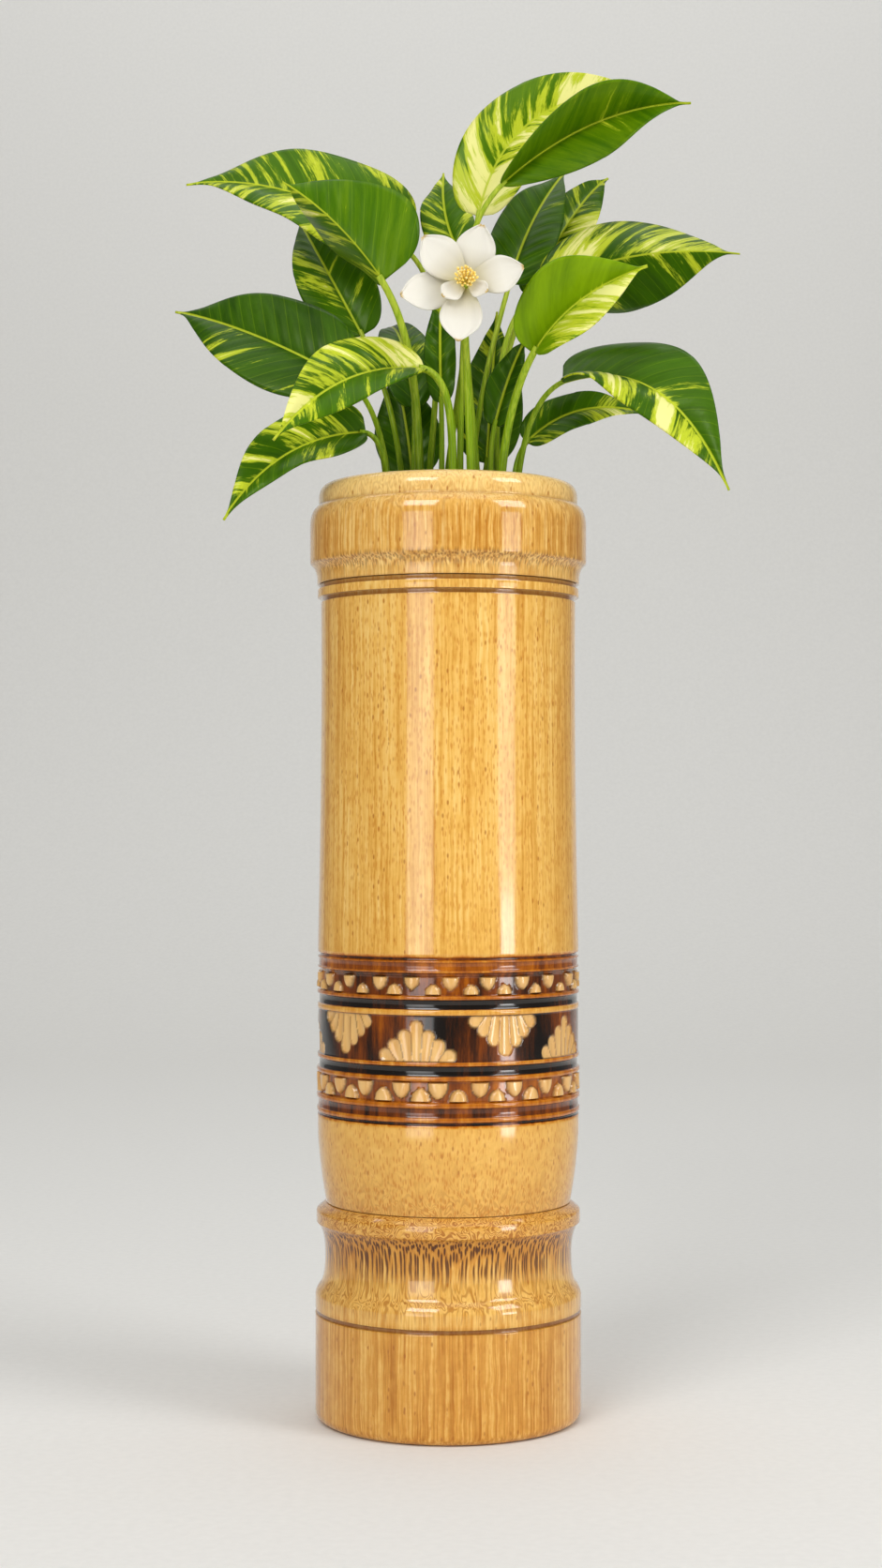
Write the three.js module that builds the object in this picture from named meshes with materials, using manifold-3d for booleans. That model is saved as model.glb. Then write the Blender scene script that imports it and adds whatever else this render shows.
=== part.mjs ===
// A bamboo flower pot: a turned culm on a foot cut from its node, capped by a collar,
// with a planting that lifts out in its plastic liner.
// Millimetres, +Z up. The origin is the middle of the face that the foot stands on.
// The viewer is on the -Y side.
import * as THREE from 'three';
import { mergeVertices } from 'three/addons/utils/BufferGeometryUtils.js';
import Module from 'manifold-3d';

// Fits: the play left between two pieces that touch.
const FIT_GAP = 0.3;

// Culm: the bore and its wall, the spigot that stands in the foot, the bulb, and the shaft over the band.
// Radii are given as steps out from the bore, or in and out from the culm's skin.
const CULM_BORE_RADIUS = 44.5;
const CULM_WALL = 11.5;
const FOOT_SPIGOT_WALL = 5.5;
const SEAT_LEDGE = 2.4;
const BULB_HEIGHT = 29.1;
const BULB_SHOULDER_HEIGHT = 13.1;
const BULB_SHOULDER_DEPTH = 1;
const BULB_STRAIGHT_HEIGHT = 8.6;
const SHAFT_HEIGHT = 149.8;
const SHAFT_WAIST_HEIGHT = 90;
const SHAFT_WAIST_DEPTH = 1.8;
const SHAFT_TOP_DEPTH = 1.25;
const NECK_GROOVE_HEIGHT = 1.85;
const NECK_GROOVE_DEPTH = 0.8;
const NECK_RING_PROUD = 0.2;
const NECK_RING_HEIGHT = 3.6;
const COLLAR_SPIGOT_WALL = 7.5;
const COLLAR_SPIGOT_HEIGHT = 29.7;

// Foot: a drum, a bead, a cove and the swelling of the node, over an open hollow.
const FOOT_PROUD = 1;
const FOOT_WALL = 14;
const FOOT_EDGE_ROUND = 5;
const DRUM_HEIGHT = 45.6;
const FOOT_GROOVE_HEIGHT = 1.8;
const FOOT_GROOVE_DEPTH = 0.9;
const BEAD_HEIGHT = 7.9;
const BEAD_ROUND = 2.4;
const COVE_DEPTH = 4.2;
const COVE_LOWER_HEIGHT = 15.3;
const COVE_LOWER_EASE = 3;
const COVE_UPPER_HEIGHT = 12.9;
const COVE_UPPER_EASE = 9;
const NODE_PROUD = 0.5;
const NODE_HEIGHT = 6;
const NODE_BEVEL_HEIGHT = 3.1;
const SEPTUM_THICKNESS = 8;
const SOCKET_DEPTH = 12.6;

// Turned band, from the top down: each zone's height and how far it stands out from the culm's skin.
const BAND_ZONES = [
  { name: 'upper groove', height: 1.2, proud: -1 },
  { name: 'upper brown ring', height: 5.2, proud: -0.1 },
  { name: 'second groove', height: 1.2, proud: -0.9 },
  { name: 'upper tooth row', height: 8.2, proud: 0 },
  { name: 'fillet under the teeth', height: 1.6, proud: 0.2 },
  { name: 'upper dark ring', height: 4, proud: -0.7 },
  { name: 'fillet over the fans', height: 2.2, proud: 0.1 },
  { name: 'fan field', height: 19.2, proud: -0.4 },
  { name: 'fillet under the fans', height: 1.7, proud: 0.1 },
  { name: 'lower dark ring', height: 4.1, proud: -0.7 },
  { name: 'fillet over the teeth', height: 1.9, proud: 0.4 },
  { name: 'lower tooth row', height: 9, proud: 0.1 },
  { name: 'fillet over the brown ring', height: 2.1, proud: 0.4 },
  { name: 'lower brown ring', height: 3.9, proud: -0.3 },
  { name: 'lower fillet', height: 2, proud: 0.3 },
  { name: 'lower groove', height: 1.1, proud: -0.5 },
];

// Collar: a cove under a straight side, a round shoulder, and the lip over the culm's end.
const COLLAR_PROUD = 3.5;
const COLLAR_BOTTOM_PROUD = 0.4;
const COLLAR_COVE_HEIGHT = 8.7;
const COLLAR_COVE_EASE = 2.2;
const COLLAR_SIDE_HEIGHT = 15.7;
const COLLAR_SHOULDER_HEIGHT = 9;
const COLLAR_SHOULDER_EASE = 1.8;
const LIP_DEPTH = 0.25;
const LIP_HEIGHT = 10;
const LIP_ROUND = 6.5;
const LIP_INNER_ROUND = 3;

// Liner and potting mix.
const LINER_DROP = 25;
const LINER_WALL = 1.5;
const LINER_TAPER = 1.9;
const LINER_PLAY = 1.1;
const LINER_LIP_PLAY = 0.5;
const LINER_LIP_HEIGHT = 3;
const MIX_DROP = 15;

// Leaves: a bent spine, a stalk rising from the mix, and a thin blade whose halves turn about its midrib.
const BLADE_THICKNESS = 0.8;
const BLADE_FOOT = 1.3;
const BLADE_TIP = 0.5;
const BLADE_OUTLINE = { foot: 0.5, tip: 1.05, reach: 0.93 };
const BLADE_WIDEST = 0.35;
const STALK_RADIUS = 1.5;
const THICK_STALK_RADIUS = 2.1;
const STALK_UPRIGHT_SHARE = 0.5;
const STALK_APPROACH_SHARE = 0.25;

// Each leaf: where its stalk leaves the mix (x, y), the blade's base, bend and tip (x, y, height over rim),
// the way its upper side faces, its half width, how far each half turns up about the midrib, in degrees,
// and how far along it is widest where that differs from the others.
const LEAVES = [
  {
    name: 'top_front', root: [14, -4], base: [23, -8, 128], bend: [60, -16, 160], tip: [102, -30, 157],
    face: [0.6, -0.8, 0.05], half: 20, fold: 45, widest: 0.55,
  },
  {
    name: 'top_back', root: [5, 6], base: [13, 7, 118], bend: [26, 12, 181], tip: [95, 14, 172],
    face: [-0.25, -0.95, 0.2], half: 19, fold: 12,
  },
  {
    name: 'back_mid', root: [8, 18], base: [27, 24, 92], bend: [36, 34, 126], tip: [54, 64, 152],
    face: [0, -0.9, 0.44], half: 15, fold: 10,
  },
  {
    name: 'back_right', root: [17, 18], base: [36, 40, 90], bend: [58, 52, 142], tip: [73, 65, 149],
    face: [0, -0.9, 0.44], half: 12, fold: 10,
  },
  {
    name: 'right_far', root: [22, 8], base: [41, 13, 88], bend: [78, 3, 106], tip: [121, -42, 91],
    face: [0.4, -0.9, 0.1], half: 24.5, fold: -34, widest: 0.4,
  },
  {
    name: 'right_front', root: [21, -13], base: [36, -30, 52], bend: [51, -38, 76], tip: [83, -40, 86],
    face: [-0.55, -0.8, -0.2], half: 22, fold: 42, widest: 0.43, thick: true,
  },
  {
    name: 'right_droop', root: [28, -7], base: [49, -10, 43], bend: [93, -20, 56], tip: [116, -45, -8],
    face: [-0.45, -0.3, 0.85], half: 26, fold: 16, widest: 0.3,
  },
  {
    name: 'right_low', root: [29, 3], base: [34, 10, 20], bend: [55, 13, 42], tip: [87, 20, 34],
    face: [0, -0.87, 0.5], half: 10, fold: 12,
  },
  {
    name: 'front_left', root: [1, -17], base: [-10, -25, 46], bend: [-46, -45, 47], tip: [-71, -65, 10],
    face: [0.7, -0.3, 0.65], half: 16.5, fold: 25, widest: 0.45, thick: true,
  },
  {
    name: 'low_left', root: [-27, -8], base: [-35, -20, 20], bend: [-72, -28, 18], tip: [-94, -35, -19],
    face: [-0.22, -0.9, 0.35], half: 15.5, fold: 26,
  },
  {
    name: 'left', root: [-24, 4], base: [-43, 0, 45], bend: [-86, 16, 72], tip: [-122, 40, 83],
    face: [0, -0.93, 0.36], half: 24, fold: 8,
  },
  {
    name: 'left_up_long', root: [-10, 10], base: [-21, 22, 109], bend: [-70, 26, 143], tip: [-116, 28, 137],
    face: [-0.3, -0.7, 0.65], half: 27, fold: 14, widest: 0.3,
  },
  {
    name: 'left_up_near', root: [-12, -4], base: [-28, -20, 84], bend: [-46, -22, 111], tip: [-70, -25, 125],
    face: [-0.8, -0.5, 0.35], half: 29, fold: -42, widest: 0.3, thick: true,
  },
  {
    name: 'left_back', root: [-18, 16], base: [-38, 28, 70], bend: [-56, 34, 104], tip: [-68, 56, 128],
    face: [0, -0.9, 0.44], half: 17, fold: 8,
  },
  {
    name: 'small_back', root: [-3, 18], base: [4, 30, 109], bend: [-4, 36, 126], tip: [-2, 52, 148],
    face: [0, -0.97, 0.24], half: 12, fold: 10,
  },
  {
    name: 'inner_right', root: [20, 1], base: [20, 2, 26], bend: [26, 2, 50], tip: [33, -6, 61],
    face: [0, -0.87, 0.5], half: 8, fold: 14,
  },
  {
    name: 'inner_left', root: [-17, 6], base: [-15, 16, 36], bend: [-20, 28, 76], tip: [-27, 62, 80],
    face: [0, -0.87, 0.5], half: 12, fold: 14,
  },
  {
    name: 'inner_centre', root: [-3, 2], base: [-3, 2, 36], bend: [-4, 2, 66], tip: [-3, 3, 84],
    face: [0, -0.87, 0.5], half: 7, fold: 14,
  },
  {
    name: 'back_low_left', root: [-11, 22], base: [-16, 30, 8], bend: [-18, 34, 32], tip: [-24, 40, 58],
    face: [0, -0.95, 0.3], half: 15, fold: 10,
  },
  {
    name: 'back_low_right', root: [10, 27], base: [17, 33, 14], bend: [19, 38, 46], tip: [22, 46, 84],
    face: [0, -0.95, 0.3], half: 15, fold: 10,
  },
];

// Flower: its place (x, y, height over the rim), the way it looks, and its petals around the cup.
const FLOWER_ROOT = [10.5, -18];
const FLOWER_PLACE = [7, -47, 77];
const FLOWER_FACE = [0.03, -0.97, 0.2];
const FLOWER_STALK_RADIUS = 2;
const CUP_RADIUS = 3.2;
const CUP_LENGTH = 7;
const PETAL_THICKNESS = 0.7;
const PETAL_FOOT = 2.2;
const PETAL_TIP = 0.6;
const PETAL_OUTLINE = { widest: 0.55, foot: 0.5, tip: 0.7, reach: 1 };
const PETAL_FOLD = 13;
const PETAL_LAYER = 2.2;
const PETAL_RISE = 3;
const PETALS = [
  { name: 'petal_right', angle: 13, length: 24.5, half: 8.3, layer: 1 },
  { name: 'petal_top', angle: 74, length: 26.1, half: 8.6, layer: 0 },
  { name: 'petal_upper_left', angle: 133, length: 25.5, half: 9, layer: 1 },
  { name: 'petal_lower_left', angle: 193, length: 27.3, half: 8.6, layer: 0 },
  { name: 'petal_bottom', angle: 263, length: 27, half: 9, layer: 1 },
  { name: 'inner_petal_left', angle: 221, length: 12.5, half: 4.6, layer: 2 },
  { name: 'inner_petal_right', angle: 325, length: 10.5, half: 4, layer: 2 },
];
const TUFT_RADIUS = 2.8;
const STAMEN_RADIUS = 0.5;
const STAMEN_LENGTH = 5.5;
const STAMEN_COUNT = 7;
const ANTHER_RADIUS = 0.7;

// Facets.
const LATHE_SIDES = 36;
const CUP_SIDES = 12;
const CURVE_STEPS = 4;
const STALK_SIDES = 6;
const STALK_STEPS = 7;
const BLADE_ROWS = 7;
const ROW_CROWDING = 1.3;
const BLADE_COLUMNS = 4;

// Radii, from the bore out.
const culmRadius = CULM_BORE_RADIUS + CULM_WALL;
const footSpigotRadius = CULM_BORE_RADIUS + FOOT_SPIGOT_WALL;
const seatRadius = footSpigotRadius + SEAT_LEDGE;
const shaftTopRadius = culmRadius - SHAFT_TOP_DEPTH;
const neckRingRadius = culmRadius + NECK_RING_PROUD;
const collarSpigotRadius = CULM_BORE_RADIUS + COLLAR_SPIGOT_WALL;
const footRadius = culmRadius + FOOT_PROUD;
const collarRadius = culmRadius + COLLAR_PROUD;
const lipRadius = culmRadius - LIP_DEPTH;
const lipBoreRadius = CULM_BORE_RADIUS + FIT_GAP;

// Levels, from the ground up.
const beadBottom = DRUM_HEIGHT + FOOT_GROOVE_HEIGHT;
const beadTop = beadBottom + BEAD_HEIGHT;
const coveMiddle = beadTop + COVE_LOWER_HEIGHT;
const nodeBottom = coveMiddle + COVE_UPPER_HEIGHT;
const nodeTop = nodeBottom + NODE_HEIGHT;
const footTop = nodeTop + NODE_BEVEL_HEIGHT;
const septumTop = footTop - SOCKET_DEPTH;
const septumBottom = septumTop - SEPTUM_THICKNESS;
const seat = footTop + FIT_GAP;
const bulbTop = seat + BULB_HEIGHT;
const bandBottom = bulbTop + BULB_STRAIGHT_HEIGHT;
const bandTop = BAND_ZONES.reduce((sum, zone) => sum + zone.height, bandBottom);
const shaftTop = bandTop + SHAFT_HEIGHT;
const neckRingBottom = shaftTop + NECK_GROOVE_HEIGHT;
const neckRingTop = neckRingBottom + NECK_RING_HEIGHT;
const culmShoulder = neckRingTop + NECK_GROOVE_HEIGHT;
const culmTop = culmShoulder + COLLAR_SPIGOT_HEIGHT;
const collarBottom = culmShoulder + FIT_GAP;
const collarSideBottom = collarBottom + COLLAR_COVE_HEIGHT;
const collarSideTop = collarSideBottom + COLLAR_SIDE_HEIGHT;
const lipBottom = collarSideTop + COLLAR_SHOULDER_HEIGHT;
const rim = lipBottom + LIP_HEIGHT;
const linerTop = rim - LINER_DROP;
const mixTop = linerTop - MIX_DROP;

// Materials.
const finish = (color, roughness) => new THREE.MeshStandardMaterial({ color, roughness, metalness: 0 });
const bamboo = finish(0xd9a85a, 0.3);
const scorchedBamboo = finish(0xc8934a, 0.3);
const blackPlastic = finish(0x23221f, 0.6);
const pottingMix = finish(0x3a2a1c, 0.95);
const leafGreen = finish(0x3f8a2a, 0.35);
const stalkGreen = finish(0x8fae3c, 0.4);
const petalWhite = finish(0xf6f1e6, 0.5);
const stamenYellow = finish(0xe8c14a, 0.6);

// A piece turned on the lathe: its profile runs up the outside and back down the inside.
function turned(name, profile, material, sides = LATHE_SIDES) {
  const geometry = new THREE.LatheGeometry(profile.getPoints(CURVE_STEPS), sides).rotateX(Math.PI / 2);
  const mesh = new THREE.Mesh(geometry, material);
  mesh.name = name;
  return mesh;
}

// Foot: the node's floor is left in, so the hollow below and the socket above never meet.
function footBase() {
  const boreRadius = footRadius - FOOT_WALL;
  const grooveRadius = footRadius - FOOT_GROOVE_DEPTH;
  const coveRadius = footRadius - COVE_DEPTH;
  const socketRadius = footSpigotRadius + FIT_GAP;
  const coveStart = beadTop + COVE_LOWER_EASE;
  const profile = new THREE.Path()
    .moveTo(0, septumBottom)
    .lineTo(boreRadius, septumBottom)
    .lineTo(boreRadius, 0)
    .lineTo(footRadius - FOOT_EDGE_ROUND, 0)
    .quadraticCurveTo(footRadius, 0, footRadius, FOOT_EDGE_ROUND)
    .lineTo(footRadius, DRUM_HEIGHT)
    .lineTo(grooveRadius, DRUM_HEIGHT)
    .lineTo(grooveRadius, beadBottom)
    .lineTo(footRadius, beadBottom)
    .lineTo(footRadius, beadTop - BEAD_ROUND)
    .quadraticCurveTo(footRadius, beadTop, footRadius - BEAD_ROUND, coveStart)
    .quadraticCurveTo(coveRadius, coveStart + COVE_LOWER_EASE, coveRadius, coveMiddle)
    .quadraticCurveTo(coveRadius, coveMiddle + COVE_UPPER_EASE, culmRadius + NODE_PROUD, nodeBottom)
    .lineTo(culmRadius + NODE_PROUD, nodeTop)
    .lineTo(seatRadius + FIT_GAP, footTop)
    .lineTo(socketRadius, footTop)
    .lineTo(socketRadius, septumTop)
    .lineTo(0, septumTop);
  return turned('foot_base', profile, bamboo);
}

// Culm: its lower spigot stands in the foot's socket, and its upper one carries the collar.
function culmTube() {
  const spigotBottom = septumTop + 2 * FIT_GAP;
  const bulbShoulderRadius = culmRadius - BULB_SHOULDER_DEPTH;
  const waistRadius = culmRadius - SHAFT_WAIST_DEPTH;
  const profile = new THREE.Path()
    .moveTo(CULM_BORE_RADIUS, spigotBottom)
    .lineTo(footSpigotRadius, spigotBottom)
    .lineTo(footSpigotRadius, seat)
    .lineTo(seatRadius, seat)
    .quadraticCurveTo(bulbShoulderRadius, seat + BULB_SHOULDER_HEIGHT, culmRadius, bulbTop)
    .lineTo(culmRadius, bandBottom);
  let level = bandBottom;
  for (const zone of BAND_ZONES.toReversed()) {
    profile.lineTo(culmRadius + zone.proud, level);
    level += zone.height;
    profile.lineTo(culmRadius + zone.proud, level);
  }
  profile
    .lineTo(culmRadius, bandTop)
    .quadraticCurveTo(waistRadius, bandTop + SHAFT_WAIST_HEIGHT, shaftTopRadius, shaftTop)
    .lineTo(shaftTopRadius - NECK_GROOVE_DEPTH, shaftTop)
    .lineTo(shaftTopRadius - NECK_GROOVE_DEPTH, neckRingBottom)
    .lineTo(neckRingRadius, neckRingBottom)
    .lineTo(neckRingRadius, neckRingTop)
    .lineTo(neckRingRadius - NECK_GROOVE_DEPTH, neckRingTop)
    .lineTo(neckRingRadius - NECK_GROOVE_DEPTH, culmShoulder)
    .lineTo(collarSpigotRadius, culmShoulder)
    .lineTo(collarSpigotRadius, culmTop)
    .lineTo(CULM_BORE_RADIUS, culmTop)
    .closePath();
  return turned('culm_tube', profile, scorchedBamboo);
}

// Collar: it drops over the culm's upper spigot, and its lip covers the culm's end grain.
function collarRing() {
  const socketRadius = collarSpigotRadius + FIT_GAP;
  const bottomRadius = culmRadius + COLLAR_BOTTOM_PROUD;
  const ledge = culmTop + FIT_GAP;
  const profile = new THREE.Path()
    .moveTo(socketRadius, collarBottom)
    .lineTo(bottomRadius, collarBottom)
    .quadraticCurveTo(bottomRadius, collarSideBottom - COLLAR_COVE_EASE, collarRadius, collarSideBottom)
    .lineTo(collarRadius, collarSideTop)
    .quadraticCurveTo(collarRadius, lipBottom - COLLAR_SHOULDER_EASE, lipRadius, lipBottom)
    .lineTo(lipRadius, rim - LIP_ROUND)
    .quadraticCurveTo(lipRadius, rim, lipRadius - LIP_ROUND, rim)
    .lineTo(lipBoreRadius + LIP_INNER_ROUND, rim)
    .quadraticCurveTo(lipBoreRadius, rim, lipBoreRadius, rim - LIP_INNER_ROUND)
    .lineTo(lipBoreRadius, ledge)
    .lineTo(socketRadius, ledge)
    .closePath();
  return turned('collar_ring', profile, bamboo);
}

// Liner: a tapered plastic cup that stands on the node's floor.
const linerTopRadius = CULM_BORE_RADIUS - LINER_PLAY;
const linerBottomRadius = linerTopRadius - LINER_TAPER;
const linerBottom = septumTop + FIT_GAP;
function liner() {
  const linerLipRadius = CULM_BORE_RADIUS - LINER_LIP_PLAY;
  const profile = new THREE.Path()
    .moveTo(0, linerBottom)
    .lineTo(linerBottomRadius, linerBottom)
    .lineTo(linerTopRadius, linerTop - LINER_LIP_HEIGHT)
    .lineTo(linerLipRadius, linerTop - LINER_LIP_HEIGHT)
    .lineTo(linerLipRadius, linerTop)
    .lineTo(linerTopRadius - LINER_WALL, linerTop)
    .lineTo(linerBottomRadius - LINER_WALL, linerBottom + LINER_WALL)
    .lineTo(0, linerBottom + LINER_WALL);
  return turned('liner', profile, blackPlastic);
}

// Potting mix: it fills the liner to below its lip, and its sides follow the liner's slope.
function pottingMixFill() {
  const linerFloor = linerBottom + LINER_WALL;
  const slope = LINER_TAPER / (linerTop - linerFloor);
  const innerRadius = (level) => linerTopRadius - LINER_WALL - FIT_GAP - slope * (linerTop - level);
  const mixBottom = linerFloor + FIT_GAP;
  const profile = new THREE.Path()
    .moveTo(0, mixBottom)
    .lineTo(innerRadius(mixBottom), mixBottom)
    .lineTo(innerRadius(mixTop), mixTop)
    .lineTo(0, mixTop);
  return turned('potting_mix', profile, pottingMix);
}

// A closed skin over loops of points that run alike, with both ends closed by strips across the loop.
function loft(loops) {
  const size = loops[0].length;
  const index = [];
  const quad = (a, b, c, d) => index.push(a, b, c, a, c, d);
  for (let row = 0; row + 1 < loops.length; row += 1) {
    for (let i = 0; i < size; i += 1) {
      const next = (i + 1) % size;
      quad(row * size + i, row * size + next, (row + 1) * size + next, (row + 1) * size + i);
    }
  }
  const end = (loops.length - 1) * size;
  for (let i = 0; i < size / 2 - 1; i += 1) {
    const across = size - 1 - i;
    quad(i, across, across - 1, i + 1);
    quad(end + i, end + i + 1, end + across - 1, end + across);
  }
  const geometry = new THREE.BufferGeometry().setFromPoints(loops.flat());
  geometry.setIndex(index);
  return geometry;
}

// A thin blade along a bent spine. Each row is a loop: across the upper side, and back along the under side.
// Past the outline's reach only a narrow drip tip is left.
function bladeGeometry({ base, bend, tip, face, half, foot, end, outline, fold, thickness }) {
  const spine = new THREE.QuadraticBezierCurve3(base, bend, tip);
  const skew = Math.log(0.5) / Math.log(outline.widest);
  const turn = THREE.MathUtils.degToRad(fold);
  const loops = [];
  for (let row = 0; row <= BLADE_ROWS; row += 1) {
    const t = (row / BLADE_ROWS) ** ROW_CROWDING;
    const along = spine.getTangent(t);
    const up = face.clone().addScaledVector(along, -face.dot(along)).normalize();
    const across = along.clone().cross(up);
    const least = THREE.MathUtils.lerp(foot, end, t);
    const swell = Math.max(0, Math.sin(Math.PI * Math.min(1, t / outline.reach) ** skew));
    const width = Math.max(least, half * swell ** THREE.MathUtils.lerp(outline.foot, outline.tip, t));
    const upper = [];
    for (let column = 0; column <= BLADE_COLUMNS; column += 1) {
      const side = (2 * column) / BLADE_COLUMNS - 1;
      upper.push(
        spine.getPoint(t)
          .addScaledVector(across, side * width * Math.cos(turn))
          .addScaledVector(up, Math.abs(side) * width * Math.sin(turn)),
      );
    }
    const under = upper.map((point) => point.clone().addScaledVector(up, -thickness));
    loops.push([...upper, ...under.reverse()]);
  }
  return loft(loops);
}

// A round stalk that leaves the mix upright and reaches its end point along a given way.
function stalk(name, root, end, way, radius) {
  const start = new THREE.Vector3(root[0], root[1], mixTop + FIT_GAP);
  const rise = end.z - start.z;
  const upright = start.clone().setZ(start.z + rise * STALK_UPRIGHT_SHARE);
  const approach = end.clone().addScaledVector(way, -rise * STALK_APPROACH_SHARE);
  const route = new THREE.CubicBezierCurve3(start, upright, approach, end);
  const section = new THREE.Shape();
  section.setFromPoints(
    Array.from({ length: STALK_SIDES }, (_, i) => {
      const angle = (2 * Math.PI * i) / STALK_SIDES;
      return new THREE.Vector2(radius * Math.cos(angle), radius * Math.sin(angle));
    }),
  );
  const mesh = new THREE.Mesh(
    new THREE.ExtrudeGeometry(section, { steps: STALK_STEPS, extrudePath: route }),
    stalkGreen,
  );
  mesh.name = name;
  return mesh;
}

// A point given by its height over the rim.
const overRim = ([x, y, height]) => new THREE.Vector3(x, y, rim + height);

// A leaf: the blade, and the stalk that ends just short of it.
function leaf({ name, root, base, bend, tip, face, half, fold, thick, widest = BLADE_WIDEST }) {
  const start = overRim(base);
  const way = overRim(bend).sub(start).normalize();
  const blade = new THREE.Mesh(
    bladeGeometry({
      base: start,
      bend: overRim(bend),
      tip: overRim(tip),
      face: new THREE.Vector3(...face),
      half,
      foot: BLADE_FOOT,
      end: BLADE_TIP,
      outline: { widest, ...BLADE_OUTLINE },
      fold,
      thickness: BLADE_THICKNESS,
    }),
    leafGreen,
  );
  blade.name = `leaf_${name}_blade`;
  const radius = thick ? THICK_STALK_RADIUS : STALK_RADIUS;
  const stalkEnd = start.addScaledVector(way, -FIT_GAP);
  return [blade, stalk(`leaf_${name}_stalk`, root, stalkEnd, way, radius)];
}

// A petal in the flower's own frame, whose +Z is the way that the flower looks.
function petal({ name, angle, length, half, layer }) {
  const turn = THREE.MathUtils.degToRad(angle);
  const foot = CUP_RADIUS + 2 * FIT_GAP;
  const level = layer * PETAL_LAYER;
  const at = (reach, height) => new THREE.Vector3(reach * Math.cos(turn), reach * Math.sin(turn), height);
  const mesh = new THREE.Mesh(
    bladeGeometry({
      base: at(foot, level),
      bend: at(foot + (length - foot) / 2, level - PETAL_RISE / 2),
      tip: at(length, level + PETAL_RISE),
      face: new THREE.Vector3(0, 0, 1),
      half,
      foot: PETAL_FOOT,
      end: PETAL_TIP,
      outline: PETAL_OUTLINE,
      fold: PETAL_FOLD,
      thickness: PETAL_THICKNESS,
    }),
    petalWhite,
  );
  mesh.name = name;
  return mesh;
}

const wasm = await Module();
wasm.setup();

// A closed geometry as a solid that can be joined or cut.
function solidFrom(geometry) {
  const bare = geometry.clone().deleteAttribute('normal').deleteAttribute('uv');
  const merged = mergeVertices(bare, 1e-4);
  return new wasm.Manifold(
    new wasm.Mesh({
      numProp: 3,
      vertProperties: merged.attributes.position.array,
      triVerts: new Uint32Array(merged.index.array),
    }),
  );
}

// The geometry of a joined or cut solid.
function geometryFrom(solid) {
  const { vertProperties, triVerts } = solid.getMesh();
  const geometry = new THREE.BufferGeometry();
  geometry.setAttribute('position', new THREE.BufferAttribute(vertProperties, 3));
  geometry.setIndex(new THREE.BufferAttribute(triVerts, 1));
  return geometry;
}

// Stamens: pins in a ring and one in the middle, rising from a low round bed on the cup.
const tuftBottom = 2 * PETAL_LAYER + FIT_GAP;
function stamenTuft() {
  const bedHeight = STAMEN_RADIUS * 2;
  const bed = new THREE.CylinderGeometry(TUFT_RADIUS, TUFT_RADIUS, bedHeight, 2 * STAMEN_COUNT)
    .rotateX(Math.PI / 2)
    .translate(0, 0, tuftBottom + bedHeight / 2);
  let tuft = solidFrom(bed);
  for (let i = 0; i <= STAMEN_COUNT; i += 1) {
    const angle = (2 * Math.PI * i) / STAMEN_COUNT;
    const reach = i < STAMEN_COUNT ? TUFT_RADIUS - 2 * STAMEN_RADIUS : 0;
    const middle = tuftBottom + (bedHeight + STAMEN_LENGTH) / 2;
    const pin = new THREE.CylinderGeometry(ANTHER_RADIUS, STAMEN_RADIUS, STAMEN_LENGTH, STALK_SIDES)
      .rotateX(Math.PI / 2)
      .translate(reach * Math.cos(angle), reach * Math.sin(angle), middle);
    tuft = tuft.add(solidFrom(pin));
  }
  const mesh = new THREE.Mesh(geometryFrom(tuft), stamenYellow);
  mesh.name = 'stamen_tuft';
  return mesh;
}

// The cup that the petals ring and the stamens stand on, drawn in to the stalk.
function flowerCup() {
  const cupTop = tuftBottom - FIT_GAP;
  const profile = new THREE.Path()
    .moveTo(0, cupTop - CUP_LENGTH - 2 * PETAL_LAYER)
    .lineTo(FLOWER_STALK_RADIUS, cupTop - CUP_LENGTH - 2 * PETAL_LAYER)
    .quadraticCurveTo(CUP_RADIUS, -CUP_LENGTH / 2, CUP_RADIUS, 0)
    .lineTo(CUP_RADIUS, cupTop)
    .lineTo(0, cupTop);
  return turned('flower_cup', profile, stalkGreen, CUP_SIDES);
}

function flower() {
  const place = overRim(FLOWER_PLACE);
  const way = new THREE.Vector3(...FLOWER_FACE).normalize();
  const head = new THREE.Group();
  head.position.copy(place);
  head.up.set(0, 0, 1);
  head.lookAt(place.clone().add(way));
  head.add(...PETALS.map(petal), flowerCup(), stamenTuft());
  const stalkEnd = place.clone().addScaledVector(way, -CUP_LENGTH - FIT_GAP);
  return [head, stalk('flower_stalk', FLOWER_ROOT, stalkEnd, way, FLOWER_STALK_RADIUS)];
}

const pot = new THREE.Group();
pot.add(footBase(), culmTube(), collarRing());

const planting = new THREE.Group();
planting.add(liner(), pottingMixFill(), ...LEAVES.flatMap(leaf), ...flower());

const flowerPot = new THREE.Group();
flowerPot.add(pot, planting);

export default flowerPot;
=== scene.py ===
import math
import random

import bmesh
import bpy
from mathutils import Matrix, Vector, noise


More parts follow.
